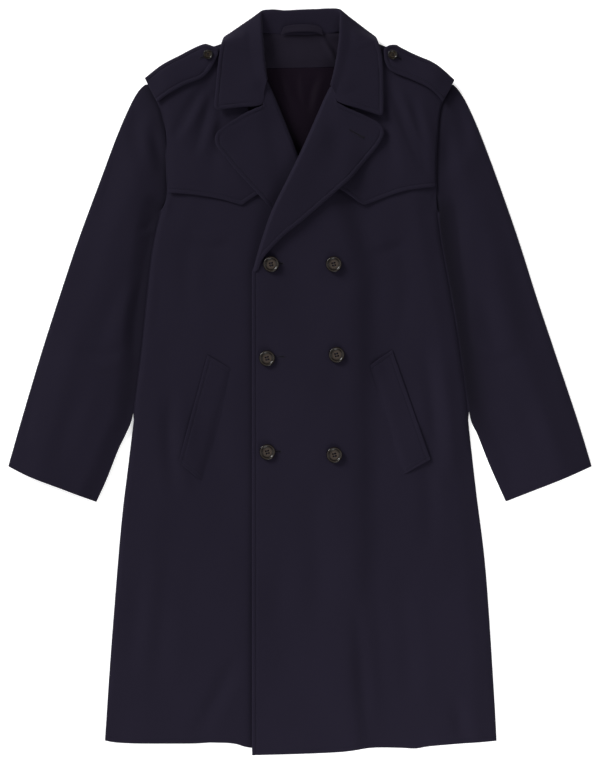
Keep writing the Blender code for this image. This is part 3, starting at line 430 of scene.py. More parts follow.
leaf_x, leaf_y = np.meshgrid(np.linspace(-COLLAR_LEAF_HALF_WIDTH, COLLAR_LEAF_HALF_WIDTH, 90),
                             np.linspace(COLLAR_LEAF_Y[1], COLLAR_LEAF_Y[0], 18))
leaf_top = np.full(leaf_x.shape, COLLAR_WALL + COLLAR_LEAF_UP)
hidden_leaf = {"heights": height_map(np.dstack([leaf_x, leaf_y, leaf_top]))}
navy = gabardine("gabardine", NAVY)

edges = [back_side(side) for side in TOWARD]
top = np.vstack([moved_in(curve(SHOULDER["right"]), -UNDER_INSET), curve(BACK_NECK),
                 moved_in(curve(SHOULDER["left"]), -UNDER_INSET)])
plan = spread_out(top, curve((edges[0][-1], (0, BACK_HEM_Y), edges[1][-1])), *edges, spacing=8.0)
middle = np.dstack([plan, resting(plan, [hidden_leaf, *under_sleeves.values()], BACK_REACH, BACK_WALL)])
back = cloth_piece("back", middle, BACK_WALL, navy)

# ---- Back-neck facing and lining ------------------------------------------------------------------
# In the open neck the back is faced with a strip of the coat's own cloth, seamed to a smooth dark
# lining below it. The facing has a sharp slanting crease on the viewer's right.
FACING_WALL, LINING_WALL = 1.2, 1.0
INSIDE_REACH, INSIDE_AIR = 6, 0.6    # how far both bridge over the back, and the air under them
NAVY_INSIDE = (0.0088, 0.0070, 0.0128)
LINING_DYE = (0.0043, 0.0020, 0.0054)
FACING_TOP = ((-92, 555.5), (0, 556), (94, 556.5))
FACING_RISE = (2.0, 11.0)     # how far the facing rises to the stand, and over what width
FACING_LOW = ((-90, 499.5), (0, 500.5), (92, 502.5))
LINING_TOP = ((-86, 499), (0, 500), (88, 502))
LINING_LOW = ((-84, 330), (0, 330), (84, 330))
# Creases: three points that each runs through, its half width and depth, and the share of its raised lip.
NECK_CREASES = ((34, 548, 49, 527, 61, 503, 4.0, 2.6, 0.4), (-60, 540, -52, 520, -56, 503, 7, -0.6, 0.3),
                (-20, 546, -8, 525, -14, 503, 9, -0.5, 0.3))
LINING_CREASES = ((-34, 495, -25, 460, -10, 430, 5, -1.4, 0.5), (30, 496, 18, 460, 12, 425, 6, -1.3, 0.5),
                  (-2, 498, -4, 470, 4, 440, 4, -0.9, 0.5))


def creases(plan, table):
    """Soft troughs and ridges that fade out towards both ends, each with a lip along one side."""
    total = np.zeros(plan.shape[:2])
    for x0, y0, x1, y1, x2, y2, half_width, depth, lip in table:
        line = curve(((x0, y0), (x1, y1), (x2, y2)), 6.0)
        nearest = np.full(total.shape, 1e9)
        strength, beside = np.zeros(total.shape), np.ones(total.shape)
        for i, (a, b) in enumerate(zip(line, line[1:])):
            run, gap = b - a, plan[..., :2] - a
            share = np.clip((gap @ run) / (run @ run), 0, 1)
            gap = gap - share[..., None] * run
            distance = np.hypot(gap[..., 0], gap[..., 1])
            closer = distance < nearest
            nearest = np.where(closer, distance, nearest)
            strength = np.where(closer, np.sin(math.pi * (i + share) / (len(line) - 1)), strength)
            beside = np.where(closer, np.sign(run[0] * gap[..., 1] - run[1] * gap[..., 0]), beside)
        away = beside * nearest / half_width
        total += depth * strength * (np.exp(-away ** 2) - lip * np.exp(-(away - 1.7) ** 2))
    return total


def uneven(plan, size):
    """Low, irregular waves of cloth that has been worn and laid down."""
    x, y = plan[..., 0], plan[..., 1]
    return size * (0.6 * np.sin(x / 61 + y / 143 + 1.3) + 0.4 * np.sin(x / 33 - y / 89 + 0.4)
                   + 0.25 * np.sin(x / 19 + y / 47 + 2.1) + 0.12 * np.sin(x / 11 - y / 23))


inside_cloth = gabardine("gabardine_inside", NAVY_INSIDE, nap=0.02)
lining_cloth = gabardine("lining_satin", LINING_DYE, gloss=0.55, nap=0.0, twill=900, ribs=0.00001)
plan = strip_plan(FACING_TOP, FACING_LOW, 3.0)
rise = FACING_RISE[0] * fade(from_side(plan, "top"), FACING_RISE[1])
heights = resting(plan, [back], INSIDE_REACH, FACING_WALL) + creases(plan, NECK_CREASES) + INSIDE_AIR + rise
facing = cloth_piece("neck_facing", np.dstack([plan, heights]), FACING_WALL, inside_cloth)
plan = strip_plan(LINING_TOP, LINING_LOW, 4.0)
heights = resting(plan, [back], INSIDE_REACH, LINING_WALL) + creases(plan, LINING_CREASES) + INSIDE_AIR
lining = cloth_piece("back_lining", np.dstack([plan, heights]), LINING_WALL, lining_cloth)

# ---- Top halves of the sleeves --------------------------------------------------------------------
# Each is one piece of gabardine over its under half, with the cuff turned in and the head eased into
# the armhole. It rounds over its folded outer side and sinks towards the seam along the body. Shade is
# painted into its cloth along that valley and in the hollow at its head.
SLEEVE_TURNING = 2.2      # how far the sleeve's edge runs under the body at the armhole
OUTER_IN, INNER_IN = 1.0, 0.8                 # how far its folded and its seamed edge draw in
SLEEVE_DIP, SLEEVE_DIP_WIDTH = 2.6, 5.5
TIP_CUT = 4.0             # its two long edges start this far down from the shoulder point
OUTER_ROUND, INNER_ROUND = 13.0, 9.0
INNER_LEAST = 0.15        # share of its height that the sleeve keeps on the seam along the body
SLEEVE_SLOPE = 56         # how far from its outer edge and its head it puffs out fully
HEAD_PUFF = 0.4           # share of the puff at the head
SLEEVE_AIR, SLEEVE_REACH, SLEEVE_UNEVEN = 0.8, 12, 1.6
FLOOR_AIR = 0.4           # air under the outer edge of a piece that comes down to the floor
# The valley's painted shade: its width, where it starts, and how far it takes to come in.
FOLD_SHADE_WIDTH, FOLD_SHADE_LOW_Y, FOLD_SHADE_RISE = 27, -125, 110       # the dark valley along the body, and where it starts
# Strength and width of the shade painted in the hollow at each sleeve's head.
HEAD_SHADE, HEAD_SHADE_WIDTH = 0.28, 22
SLEEVE_CREASES = {
    "right": ((-240, 412, -226, 366, -217, 322, 11, -4.5, 0.5), (-258, 440, -262, 390, -250, 330, 13, -2.7, 0.4),
              (-224, 262, -244, 246, -262, 240, 6, -1.5, 0.5), (-246, 170, -262, 110, -270, 30, 10, -3.3, 0.4),
              (-300, 250, -330, 160, -352, 40, 24, -2.2, 0.3), (-262, 190, -300, 120, -330, 20, 15, -2.1, 0.4),
              (-268, 60, -316, 40, -362, 60, 10, -1.5, 0.5), (-330, 20, -366, -60, -392, -150, 16, -1.8, 0.4),
              (-420, 10, -432, -40, -440, -110, 10, -1.4, 0.4)),
    "left": ((234, 330, 248, 190, 266, 20, 15, -5.4, 0.3), (236, 410, 238, 362, 233, 316, 14, -3.6, 0.1),
             (252, 444, 262, 400, 258, 340, 13, -2.7, 0.4), (224, 262, 244, 246, 264, 240, 6, -1.5, 0.5),
             (306, 280, 346, 160, 372, 20, 24, -2.4, 0.3), (262, 180, 300, 96, 326, 0, 16, -2.7, 0.4),
             (272, 50, 316, 30, 360, 46, 10, -1.5, 0.5), (330, 10, 368, -70, 394, -150, 16, -1.8, 0.4),
             (416, 20, 434, -30, 444, -100, 10, -1.4, 0.4)),
}


def soft_step(value, width, least=0):
    """A least share at nought and below, 1 at the width and above."""
    share = np.clip(value / width, 0, 1)
    return least + (1 - least) * (share * share * (3 - 2 * share))


def rounded(distance, width, least=0):
    """How far a layer has risen at a distance from its rounded edge: a least share at the edge, 1 inside."""
    return least + (1 - least) * np.sqrt(1 - (1 - np.clip(distance / width, 0, 1)) ** 2)


def seam_dip(line, plan, depth=0.8, half_width=3.0):
    """The valley along a seam."""
    return depth * fade(distance_to(line, plan), half_width)


for side, toward in TOWARD.items():
    cut = SLEEVES[side]
    seam = moved_in(curve(cut["armhole"]), toward * SLEEVE_TURNING)[int(TIP_CUT / 2):]
    outer = moved_in(curve(cut["outer"]), toward * OUTER_IN)[int(TIP_CUT / 2):]
    inner = moved_in(curve(cut["inner"]), -toward * INNER_IN)
    tip = even((outer[0], seam[0]), 0.5)
    plan = sided_plan(side, tip, curve(cut["cuff"]), outer, np.vstack([seam, inner[1:]]), 4.5)
    to_outer, to_inner, to_seam = [distance_to(line[::4], plan) for line in (outer, inner, seam)]
    puff = cut["puff"] * soft_step(to_outer, SLEEVE_SLOPE) * soft_step(to_inner, cut["valley"])
    puff = puff * soft_step(to_seam, SLEEVE_SLOPE, HEAD_PUFF)
    puff = puff + creases(plan, SLEEVE_CREASES[side]) + uneven(plan, SLEEVE_UNEVEN)
    floor = resting(plan, [under_sleeves[side]], SLEEVE_REACH, SLEEVE_WALL)
    high = np.maximum(floor + puff, floor) + SLEEVE_AIR - seam_dip(seam[::4], plan, SLEEVE_DIP, SLEEVE_DIP_WIDTH)
    low = SLEEVE_WALL / 2 + FLOOR_AIR
    lower_inner = SLEEVE_WALL / 2 + BACK_WALL + SLEEVE_AIR
    heights = low + (high - low) * rounded(to_outer, OUTER_ROUND)
    heights = lower_inner + (heights - lower_inner) * rounded(to_inner, INNER_ROUND, INNER_LEAST)
    # Painted shade: the cloth is darkened along the valley by the body and in the hollow at the head.
    painted_fold_shade = cut["fold"] * fade(to_inner, FOLD_SHADE_WIDTH) * soft_step(plan[..., 1] - FOLD_SHADE_LOW_Y, FOLD_SHADE_RISE)
    painted_fold_shade = np.maximum(painted_fold_shade, HEAD_SHADE * fade(to_seam, HEAD_SHADE_WIDTH))
    cloth_piece("sleeve_top_" + side, np.dstack([plan, heights]), SLEEVE_WALL, sleeve_cloth[side],
                painted_fold_shade=painted_fold_shade)

# ---- Lower front, its storm flap and its lapel ----------------------------------------------------
# The wearer's right front lies under the left one. It is one wide piece of gabardine, faced inside,
# with a loose storm flap over the chest and a lapel that turns back from the break with a soft roll.
FRONT_WALL, FLAP_WALL, LAPEL_WALL = 2.2, 1.3, 2.6
FRONT_REACH, FLAP_REACH, LAPEL_REACH = 24, 14, 16       # how far each bridges over what lies under it
FRONT_SEAM_GAP, FRONT_IN = 0.15, 1.0    # how far its armhole and its side and shoulder seams draw in
FRONT_AIR, FRONT_UNEVEN = 1.2, 1.7
BODY_PUFF = {"right": (4.2, 64), "left": (4.8, 36)}     # how far a front stands off, and over what width
SHOULDER_SLOPE, ARMHOLE_SLOPE, ARMHOLE_PUFF = 60, 46, 0.15
SIDE_ROUND, SHOULDER_LEAST = 9.0, 0.3
RIDGE, GROOVE, GROOVE_WIDTH = 0.35, 0.6, 1.1            # relief beside a row of stitching
FLAP_BILLOW = 1.6             # how far the loose middle of a flap stands off the chest
FLAP_IN, FLAP_TOP_IN = 3.0, 7.0         # how far it draws in from the armhole and from the shoulder seam
FLAP_AIR, FLAP_UNEVEN = 0.4, 0.5
FLAP_CLOSE_REACH, FLAP_LOWEST = 4, -0.2                 # its dips stop on the front, which it follows closely there
FLAP_HEM_SLOPE, FLAP_SEAM_SLOPE = 44, 50                # how far from these it stands off fully
FLAP_DIP, FLAP_DIP_WIDTH = 0.9, 5
HEM_FLAT = 30                 # creases die out this near to the stitched hem
ROLL_IN, ROLL_RADIUS, ROLL_LEAST, ROLL_REACH = 5.8, 4.5, 1.2, 8
ROLL_UNDER = 9.0              # how far past the roll line the front runs on under the lapel
ROLL_TURNS = np.radians(np.linspace(-60, 90, 13)[:-1])
ROLL_TURNED = 1.87            # height of the whole turn, in radii
LAPEL_LIFT, LAPEL_LIFT_WIDTH, FOOT_LIFT = 3.5, 26, 0.15    # the last is the share of it left at the foot
LAPEL_AIR, LAPEL_UNEVEN = 0.3, 0.35
EDGE_CURL, EDGE_CURL_WIDTH = 2.6, 22                    # how far a lapel's top edge curls up off the front
FOOT_WALL, FOOT_TAPER, FOOT_SINK, FOOT_SINK_WIDTH = 0.9, 46, 1.7, 16
FRONTS = {
    "right": {
        "neck": ((-96, 550), (-90.5, 537.5), (-85.5, 513.5), (-79, 493), (-69, 474), (-57, 462)),
        "roll": ((-51, 478), (-43, 461), (-31, 433), (-15, 393.5), (-1, 358.5), (36, 277), (72.5, 192)),
        "edge": ((65, 188), (71, 176), (75.5, 163), (77.5, 148), (77.5, 118), (77.5, 40), (77.5, -200),
                 (77.5, -590.5)),
        "hem": ((-312, -575), (-279, -578.5), (-175, -578.5), (-135, -576.5), (-103, -579), (-76, -585.5),
                (1, -589), (77.5, -590.5)),
        "gorge": ((-58.5, 438), (-60.5, 452), (-60, 465), (-56.3, 475.5)),
        "lapel_top": ((-123, 402.5), (-108, 413), (-87, 425.5), (-73, 432), (-58.5, 438)),
        "lapel_side": ((-123, 402.5), (-131.5, 395), (-134.5, 385.5), (-132, 374.5), (-124, 363)),
        "lapel_low": ((-124, 363), (-92, 325.5), (-60, 291), (-44, 273.5), (1, 235), (41, 206), (60, 191)),
        "flap_front": ((-103, 543), (-97, 500), (-88, 450), (-72, 380), (-57, 302.5)),
        "flap_hem": ((-209.5, 300), (-175, 297.5), (-143, 293), (-119, 288), (-92, 280)),
        "flap_rise": ((-92, 280), (-79, 289.5), (-66.5, 297), (-57, 302.5)),
    },
    "left": {
        "neck": ((97, 551), (92, 538), (86, 515), (78, 493), (68, 474), (55, 458)),
        "roll": ((49, 469), (39, 449.5), (26.5, 421), (13.5, 390.5), (-1, 358.5), (-23, 313.5), (-44, 270.5),
                 (-60, 225.5), (-75.6, 175)),
        "edge": ((-64, 190), (-71, 184), (-74.8, 176), (-75.5, 166), (-75.5, 140), (-75.5, 80), (-75.5, -60),
                 (-75.5, -596)),
        "hem": ((316, -575), (257, -578.5), (209, -582.5), (185, -586.5), (161, -585.5), (113, -585.5),
                (65, -591), (1, -593.5), (-75.5, -596)),
        "gorge": ((60, 443), (57.5, 454), (54.2, 466.4)),
        "lapel_top": ((123, 412.5), (113, 417.5), (89, 429), (74.5, 435), (60, 443)),
        "lapel_side": ((123, 412.5), (132, 405), (134.5, 395), (131, 384), (122.5, 371)),
        "lapel_low": ((122.5, 371), (100, 344), (81, 321.5), (60, 302.5), (33, 278.5), (1, 251), (-23, 232),
                      (-46, 209), (-59, 193), (-65.5, 177)),
        "flap_front": ((104, 547), (98, 505), (88, 450), (72, 380), (55, 310.5)),
        "flap_hem": ((216, 309.5), (193, 307), (169, 303), (145, 296), (121, 286.5), (103, 280)),
        "flap_rise": ((103, 280), (93.5, 285), (81, 294.5), (66.5, 304), (55, 310.5)),
    },
}
FRONT_CREASES = {
    "right": ((-204, 0, -209, -90, -200, -190, 12, -3.6, 0.5), (-96, -430, -130, -500, -168, -572, 13, -3.0, 0.4),
              (-213, 300, -219, 282, -222, 262, 5, -2.4, 0.3), (-170, 250, -182, 160, -176, 90, 14, -1.5, 0.4),
              (-118, 60, -134, -60, -126, -180, 16, -1.4, 0.4), (-250, -250, -262, -380, -270, -500, 15, -2.1, 0.4),
              (-205, -260, -222, -380, -226, -520, 17, -1.8, 0.4), (-176, 225, -140, 212, -104, 222, 9, -1.4, 0.5)),
    "left": ((200, 60, 212, -30, 224, -158, 12, -3.6, 0.5), (196, -60, 206, -150, 208, -280, 14, -2.4, 0.4),
             (90, -340, 97, -470, 106, -588, 12, -3.6, 0.5), (250, -500, 255, -540, 259, -580, 12, -3.0, 0.4),
             (213, 306, 218, 286, 216, 262, 5, -2.4, 0.3), (-72, 226, -50, 200, -28, 184, 8, -2.4, 0.3),
             (150, 250, 168, 160, 160, 60, 15, -1.5, 0.4), (20, -140, 30, -300, 22, -460, 20, -1.4, 0.4),
             (160, -300, 172, -420, 178, -560, 16, -1.8, 0.4), (104, 200, 136, 206, 178, 222, 9, -1.4, 0.5),
             (-40, -180, -30, -320, -44, -480, 20, -1.0, 0.4)),
}
FLAP_CREASES = {
    "right": ((-148, 478, -175, 434, -204, 380, 8, -3.1, 0.6), (-140, 474, -151, 418, -170, 352, 8, -2.6, 0.6),
              (-120, 470, -128, 400, -138, 330, 10, -1.2, 0.5)),
    "left": ((138, 482, 153, 442, 209, 316, 8, -3.1, 0.6), (177, 460, 190, 402, 208, 340, 8, -2.6, 0.6),
             (120, 476, 140, 380, 160, 316, 10, -1.4, 0.5)),
}


def front_plan(side):
    """Plan grid of a front from its shoulder to its hem, and its armhole, side and shoulder seams."""
    cut, toward = FRONTS[side], TOWARD[side]
    seam = moved_in(curve(SLEEVES[side]["armhole"]), toward * FRONT_SEAM_GAP)
    side_seam = moved_in(curve(SIDE_SEAM[side]), toward * FRONT_IN)
    shoulder = moved_in(curve(SHOULDER[side]), -FRONT_IN)
    roll = moved_in(curve(cut["roll"]), -toward * ROLL_UNDER)
    roll = roll[roll[:, 1] > cut["edge"][0][1] + 5]
    opening = np.vstack([curve(cut["neck"]), roll[1:], curve(cut["edge"])])
    outside = np.vstack([seam, side_seam[1:]])
    stitched_edges = ("inner",) if side == "left" else ()
    plan = sided_plan(side, shoulder[::toward], curve(cut["hem"]), outside, opening, 4.5, stitched_edges)
    return plan, seam, side_seam, shoulder


def front_heights(side, plan, seam, side_seam, shoulder, below):
    """Middle heights of a front: it bridges what it covers and rounds down to the floor at its sides."""
    to_side, to_shoulder, to_seam = [distance_to(line[::4], plan) for line in (side_seam, shoulder, seam)]
    rest = resting(plan, below, FRONT_REACH, FRONT_WALL)
    stand_off, slope = BODY_PUFF[side]
    puff = stand_off * soft_step(to_side, slope) * soft_step(to_shoulder, SHOULDER_SLOPE)
    puff = puff + uneven(plan, FRONT_UNEVEN) + FRONT_AIR
    puff = puff * soft_step(to_seam, ARMHOLE_SLOPE, ARMHOLE_PUFF) + creases(plan, FRONT_CREASES[side])
    high = rest + np.maximum(puff, 0) - seam_dip(seam[::4], plan)
    low_side = FRONT_WALL / 2 + FLOOR_AIR
    low_top = FRONT_WALL / 2 + BACK_WALL + LAY_AIR
    heights = low_side + (high - low_side) * rounded(to_side, SIDE_ROUND)
    return low_top + (heights - low_top) * rounded(to_shoulder, SIDE_ROUND, SHOULDER_LEAST)


def margin(plan, edge):
    """What a row of stitching does beside an edge: a full ridge along the edge and a groove at the stitches."""
    away = distance_to(edge, plan)
    return RIDGE * np.sin(math.pi * np.clip(away / STITCH_IN, 0, 1)) - GROOVE * fade(away - STITCH_IN, GROOVE_WIDTH)


def storm_flap(side, front):
    """A loose yoke over the chest, caught in the armhole and shoulder seams, with its hem turned and stitched."""
    cut, toward = FRONTS[side], TOWARD[side]
    seam = moved_in(curve(SLEEVES[side]["armhole"]), toward * FLAP_IN)
    seam = seam[seam[:, 1] > cut["flap_hem"][0][1]]
    hem = joined(cut["flap_hem"], cut["flap_rise"])
    shoulder = moved_in(curve(SHOULDER[side]), -FLAP_TOP_IN)
    plan = sided_plan(side, shoulder[::toward], hem, seam, curve(cut["flap_front"]), 4.0, ("bottom",))
    to_hem = distance_to(hem[::3], plan)
    loose = soft_step(to_hem, FLAP_HEM_SLOPE) * soft_step(distance_to(seam[::4], plan), FLAP_SEAM_SLOPE)
    form = resting(plan, [front], FLAP_REACH, FLAP_WALL) + FLAP_AIR + FLAP_BILLOW * loose
    form = form + uneven(plan[:, ::-1], FLAP_UNEVEN) + creases(plan, FLAP_CREASES[side]) * soft_step(to_hem, HEM_FLAT)
    form = form + margin(plan, hem) - seam_dip(seam[::4], plan, FLAP_DIP, FLAP_DIP_WIDTH)
    form = np.maximum(form, resting(plan, [front], FLAP_CLOSE_REACH, FLAP_WALL) + FLAP_LOWEST)
    flap = cloth_piece("storm_flap_" + side, np.dstack([plan, form]), FLAP_WALL, navy)
    flap["hem"] = hem
    return flap


def rolled(middle, side, floor):
    """Add the soft roll along a lapel's roll line, which turns down from its grid on the coat's side."""
    if side == "right":
        return rolled(middle[:, ::-1], "left", floor)[:, ::-1]
    first, second = middle[:, 0], middle[:, 1]
    along = np.gradient(first[:, :2], axis=0)
    outward = np.column_stack([along[:, 1], -along[:, 0]]) / np.linalg.norm(along, axis=1)[:, None]
    outward *= np.sign(np.sum(outward * (first - second)[:, :2], axis=1))[:, None]
    under = resting(first[None], floor, ROLL_REACH, LAPEL_WALL)[0]
    radius = np.clip((first[:, 2] - under) / ROLL_TURNED, ROLL_LEAST, ROLL_RADIUS)
    radius = np.convolve(np.pad(radius, 10, "edge"), np.ones(21) / 21, "valid")
    turns = []
    for angle in ROLL_TURNS:
        turn = first.copy()
        turn[:, :2] += outward * (ROLL_RADIUS - radius + radius * math.cos(angle))[:, None]
        turn[:, 2] += radius * (math.sin(angle) - 1)
        turns.append(turn)
    return np.concatenate([np.stack(turns, axis=1), middle], axis=1)


def lapel(side, below, floor):
    """A lapel with its facing up. It lies on the front and lifts towards its roll line."""
    cut = FRONTS[side]
    roll = moved_in(curve(cut["roll"]), -TOWARD[side] * ROLL_IN)
    top_edge = curve(cut["lapel_top"])
    outside = joined(cut["lapel_side"], cut["lapel_low"])
    foot = even((curve(cut["lapel_low"])[-1], roll[-1]), 0.5)
    plan = sided_plan(side, joined(cut["lapel_top"], cut["gorge"]), foot, outside, roll, 3.6,
                      ("top", "outer"), ("inner",))
    along = np.linspace(1, FOOT_LIFT, plan.shape[0])[:, None]
    lift = LAPEL_LIFT * along * fade(distance_to(roll[::3], plan), LAPEL_LIFT_WIDTH)
    lift = lift + EDGE_CURL * fade(distance_to(top_edge, plan), EDGE_CURL_WIDTH)
    sewn = np.vstack([top_edge[::-1], outside[1:]])
    form = resting(plan, below, LAPEL_REACH, LAPEL_WALL) + LAPEL_AIR + lift
    form = form + margin(plan, sewn) + uneven(plan, LAPEL_UNEVEN)
    middle = rolled(np.dstack([plan, form]), side, floor)
    to_foot = distance_to(roll[-2:], middle)
    wall = FOOT_WALL + (LAPEL_WALL - FOOT_WALL) * soft_step(to_foot, FOOT_TAPER)
    middle[..., 2] -= 0.5 * (LAPEL_WALL - wall) + FOOT_SINK * fade(to_foot, FOOT_SINK_WIDTH)
    piece = cloth_piece("lapel_" + side, middle, wall, navy)
    piece["sewn"] = sewn
    return piece


plan, *seams = front_plan("right")
heights = front_heights("right", plan, *seams, [back, facing, lining])
lower_front = cloth_piece("front_right", np.dstack([plan, heights]), FRONT_WALL, navy)
lower_flap = storm_flap("right", lower_front)
lower_lapel = lapel("right", [lower_front, lower_flap], [facing, lining, back])

# ---- Upper front, its storm flap and its lapel ----------------------------------------------------
# The wearer's left front is cut the same way and laps over the right one, so its long straight edge
# shows down the middle with one row of stitching beside it.
FRONT_STITCH_TOP = 172    # the row starts below the foot of the lapel
plan, *seams = front_plan("left")
front_edge = curve(FRONTS["left"]["edge"])
front_edge = front_edge[front_edge[:, 1] < FRONT_STITCH_TOP]
heights = front_heights("left", plan, *seams, [back, facing, lining, lower_front, lower_lapel])
heights = heights + margin(plan, front_edge)
upper_front = cloth_piece("front_left", np.dstack([plan, heights]), FRONT_WALL, navy)
upper_flap = storm_flap("left", upper_front)
upper_lapel = lapel("left", [upper_front, upper_flap, lower_lapel], [facing, lining, lower_front, lower_lapel])

# ---- Shoulder straps ------------------------------------------------------------------------------
# Two layers of gabardine, turned and stitched round the free edges, caught in the armhole seam and
# buttoned down near the collar.
STRAP_WALL, STRAP_CROWN, STRAP_REACH = 2.6, 1.0, 9
STRAP_AIR, STRAP_UNEVEN = 0.9, 0.3
STRAP_SLOPE, CROWN_SLOPE = 34, 16   # how far from its sewn end, and from its edges, it is full
STRAPS = {
    "right": {
        "end": ((-246.5, 483), (-237.5, 464), (-226.5, 444)),
        "low": ((-226.5, 444), (-207, 457.5), (-183, 470.5), (-159, 480), (-148, 488), (-138.5, 501),
                (-130, 518.5)),
        "tip": ((-149.5, 537), (-140, 533.5), (-132, 530), (-129, 526), (-130, 518.5)),
        "top": ((-246.5, 483), (-223, 501), (-207, 510.5), (-191, 518.5), (-175, 527), (-159, 534.5),
                (-149.5, 537)),
    },
    "left": {
        "end": ((247, 480), (239, 464), (228, 445)),
        "low": ((228, 445), (217, 457.5), (201, 469), (177, 480), (153, 489.5), (141.5, 497.5), (135.5, 510.5),
                (134, 523)),
        "tip": ((154.5, 535), (148, 535), (141.5, 533.5), (135, 529), (134, 523)),
        "top": ((247, 480), (225, 499), (209, 509.5), (193, 516), (177, 523), (161, 531), (154.5, 535)),
    },
}
straps = {}
for side, below in (("right", [lower_front, lower_flap]), ("left", [upper_front, upper_flap])):
    cut = STRAPS[side]
    top, low, end, tip = [curve(cut[part]) for part in ("top", "low", "end", "tip")]
    plan = sided_plan(side, top, low, end, tip, 3.0, ("top", "bottom", "inner"))
    sewn = np.vstack([top, tip[1:], low[::-1][1:]])
    loose = soft_step(distance_to(end, plan), STRAP_SLOPE)
    form = resting(plan, below, STRAP_REACH, STRAP_WALL) + STRAP_AIR * loose + margin(plan, sewn)
    form = form + uneven(plan, STRAP_UNEVEN) * loose
    form = form + STRAP_CROWN * loose * soft_step(distance_to(sewn[::2], plan), CROWN_SLOPE)
    straps[side] = cloth_piece("epaulette_" + side, np.dstack([plan, form]), STRAP_WALL, navy)
    straps[side]["sewn"] = sewn

# ---- Collar ---------------------------------------------------------------------------------------
# One band of two cloths and a stiff interlining. Its stand is sewn to the neck and its leaf folds over
# it: on top of the shoulders in front, and under the back behind the neck. The free edge is stitched.
FOLD_HALF_HEIGHT = 2.6
TURN_SCALE = 1e-4             # each point holds its turn as a fourth value, too small to add to lengths
COLLAR_CURL, COLLAR_CURL_WIDTH = 3.6, 26      # how far the front ends curl up off the shoulders
COLLAR_CORNER, COLLAR_REACH, COLLAR_SPACING = 8.0, 24, 3.0
COLLAR_AIR, COLLAR_UNEVEN, COLLAR_EASE = 0.2, 0.5, 1.5
COLLAR_FRONT_TURN, COLLAR_FRONT_RANGE = 55, 45   # it lies on the fronts until its fold has turned this far
COLLAR_LEAF_FROM, COLLAR_LEAF_OVER = 0.45, 0.1   # the leaf's share of a section's points, and how it starts
COLLAR_STEPS = 8
# Sections from the right gorge round the neck to the left one: free edge, middle of the leaf, fold and
# neck seam, each x, y, z, then how far the fold has turned over in degrees.
COLLAR_SECTIONS = (
    (-135.5, 430, 12, -60.5, 439.5, 15, -51.5, 478.5, 19, -64, 474, 10, 0),
    (-134.5, 450, 12, -87, 456, 16, -54, 495, 20, -70, 488, 10, 0),
    (-132.5, 472, 12.5, -90, 482, 17.5, -56, 513, 21, -77, 507, 10, 0),
    (-130.5, 495, 13, -93, 508, 18, -57.5, 532, 21.5, -81, 524, 10, 0),
    (-128, 517, 13, -93, 530, 18, -59, 551, 21, -84, 540, 10, 0),
    (-124, 538.5, 11.5, -92, 551, 15.5, -60.5, 569, 18.5, -80, 551, 9.5, 25),
    (-120, 549, 6.5, -90, 569, 9.5, -61, 584, 14.5, -68, 556, 8.6, 75),
    (-112, 540, 1.2, -82, 566, 3.2, -56, 590, 10.5, -52, 555.5, 7.8, 130),
    (-88, 532, 1.2, -64, 560, 1.2, -43, 592, 9.0, -38, 554, 7.2, 170),
    (-44, 528, 1.2, -34, 558, 1.2, -24, 590.5, 8.4, -22, 553, 6.8, 180),
    (0, 527, 1.2, 0, 558, 1.2, 0, 591.5, 8.4, 0, 553, 6.6, 180),
    (44, 528, 1.2, 34, 558, 1.2, 24, 592.5, 8.4, 22, 553, 6.8, 180),
    (88, 532, 1.2, 66, 561, 1.2, 47, 593.5, 9.0, 42, 554.5, 7.2, 170),
    (112, 540, 1.2, 86, 566, 3.2, 61, 592, 10.5, 56, 556, 7.8, 130),
    (121, 549, 6.5, 94, 569, 9.5, 65.5, 586, 14.5, 72, 557, 8.6, 75),
    (125.5, 538.5, 11.5, 96, 551, 15.5, 65, 569, 18.5, 83, 552, 9.5, 25),
    (131, 518, 13, 96, 531, 18, 64, 550, 21, 86, 541, 10, 0),
    (133, 496, 13, 96, 508, 18, 62, 530, 21.5, 83, 524, 10, 0),
    (133.5, 472, 12.5, 94, 482, 17.5, 59, 511, 21, 80, 507, 10, 0),
    (133.5, 446, 12, 90, 458, 16, 55, 491, 20, 74, 488, 10, 0),
    (133, 420.5, 12, 62, 443.5, 15, 49.5, 470, 19, 62, 466, 10, 0),
)


def rounded_corner(grid, row, size):
    """Round the corner of the last column at row 0 or -1: its points draw in to an arc."""
    corner = grid[row, -1, :2].copy()
    u = grid[row, -9, :2] - corner
    v = grid[8 if row == 0 else -9, -1, :2] - corner
    base = np.column_stack([u / np.linalg.norm(u), v / np.linalg.norm(v)])
    share = 1 - (grid[..., :2] - corner) @ np.linalg.inv(base).T / size
    inside = (share > 0).all(axis=2) & (share <= 1.2).all(axis=2)
    largest, diagonal = share.max(axis=2), np.linalg.norm(share, axis=2)
    pull = np.where(inside, largest / np.maximum(diagonal, 1e-9), 1)[..., None]
    drawn = corner + (1 - share * pull) * size @ base.T
    grid[..., :2] = np.where(inside[..., None], drawn, grid[..., :2])


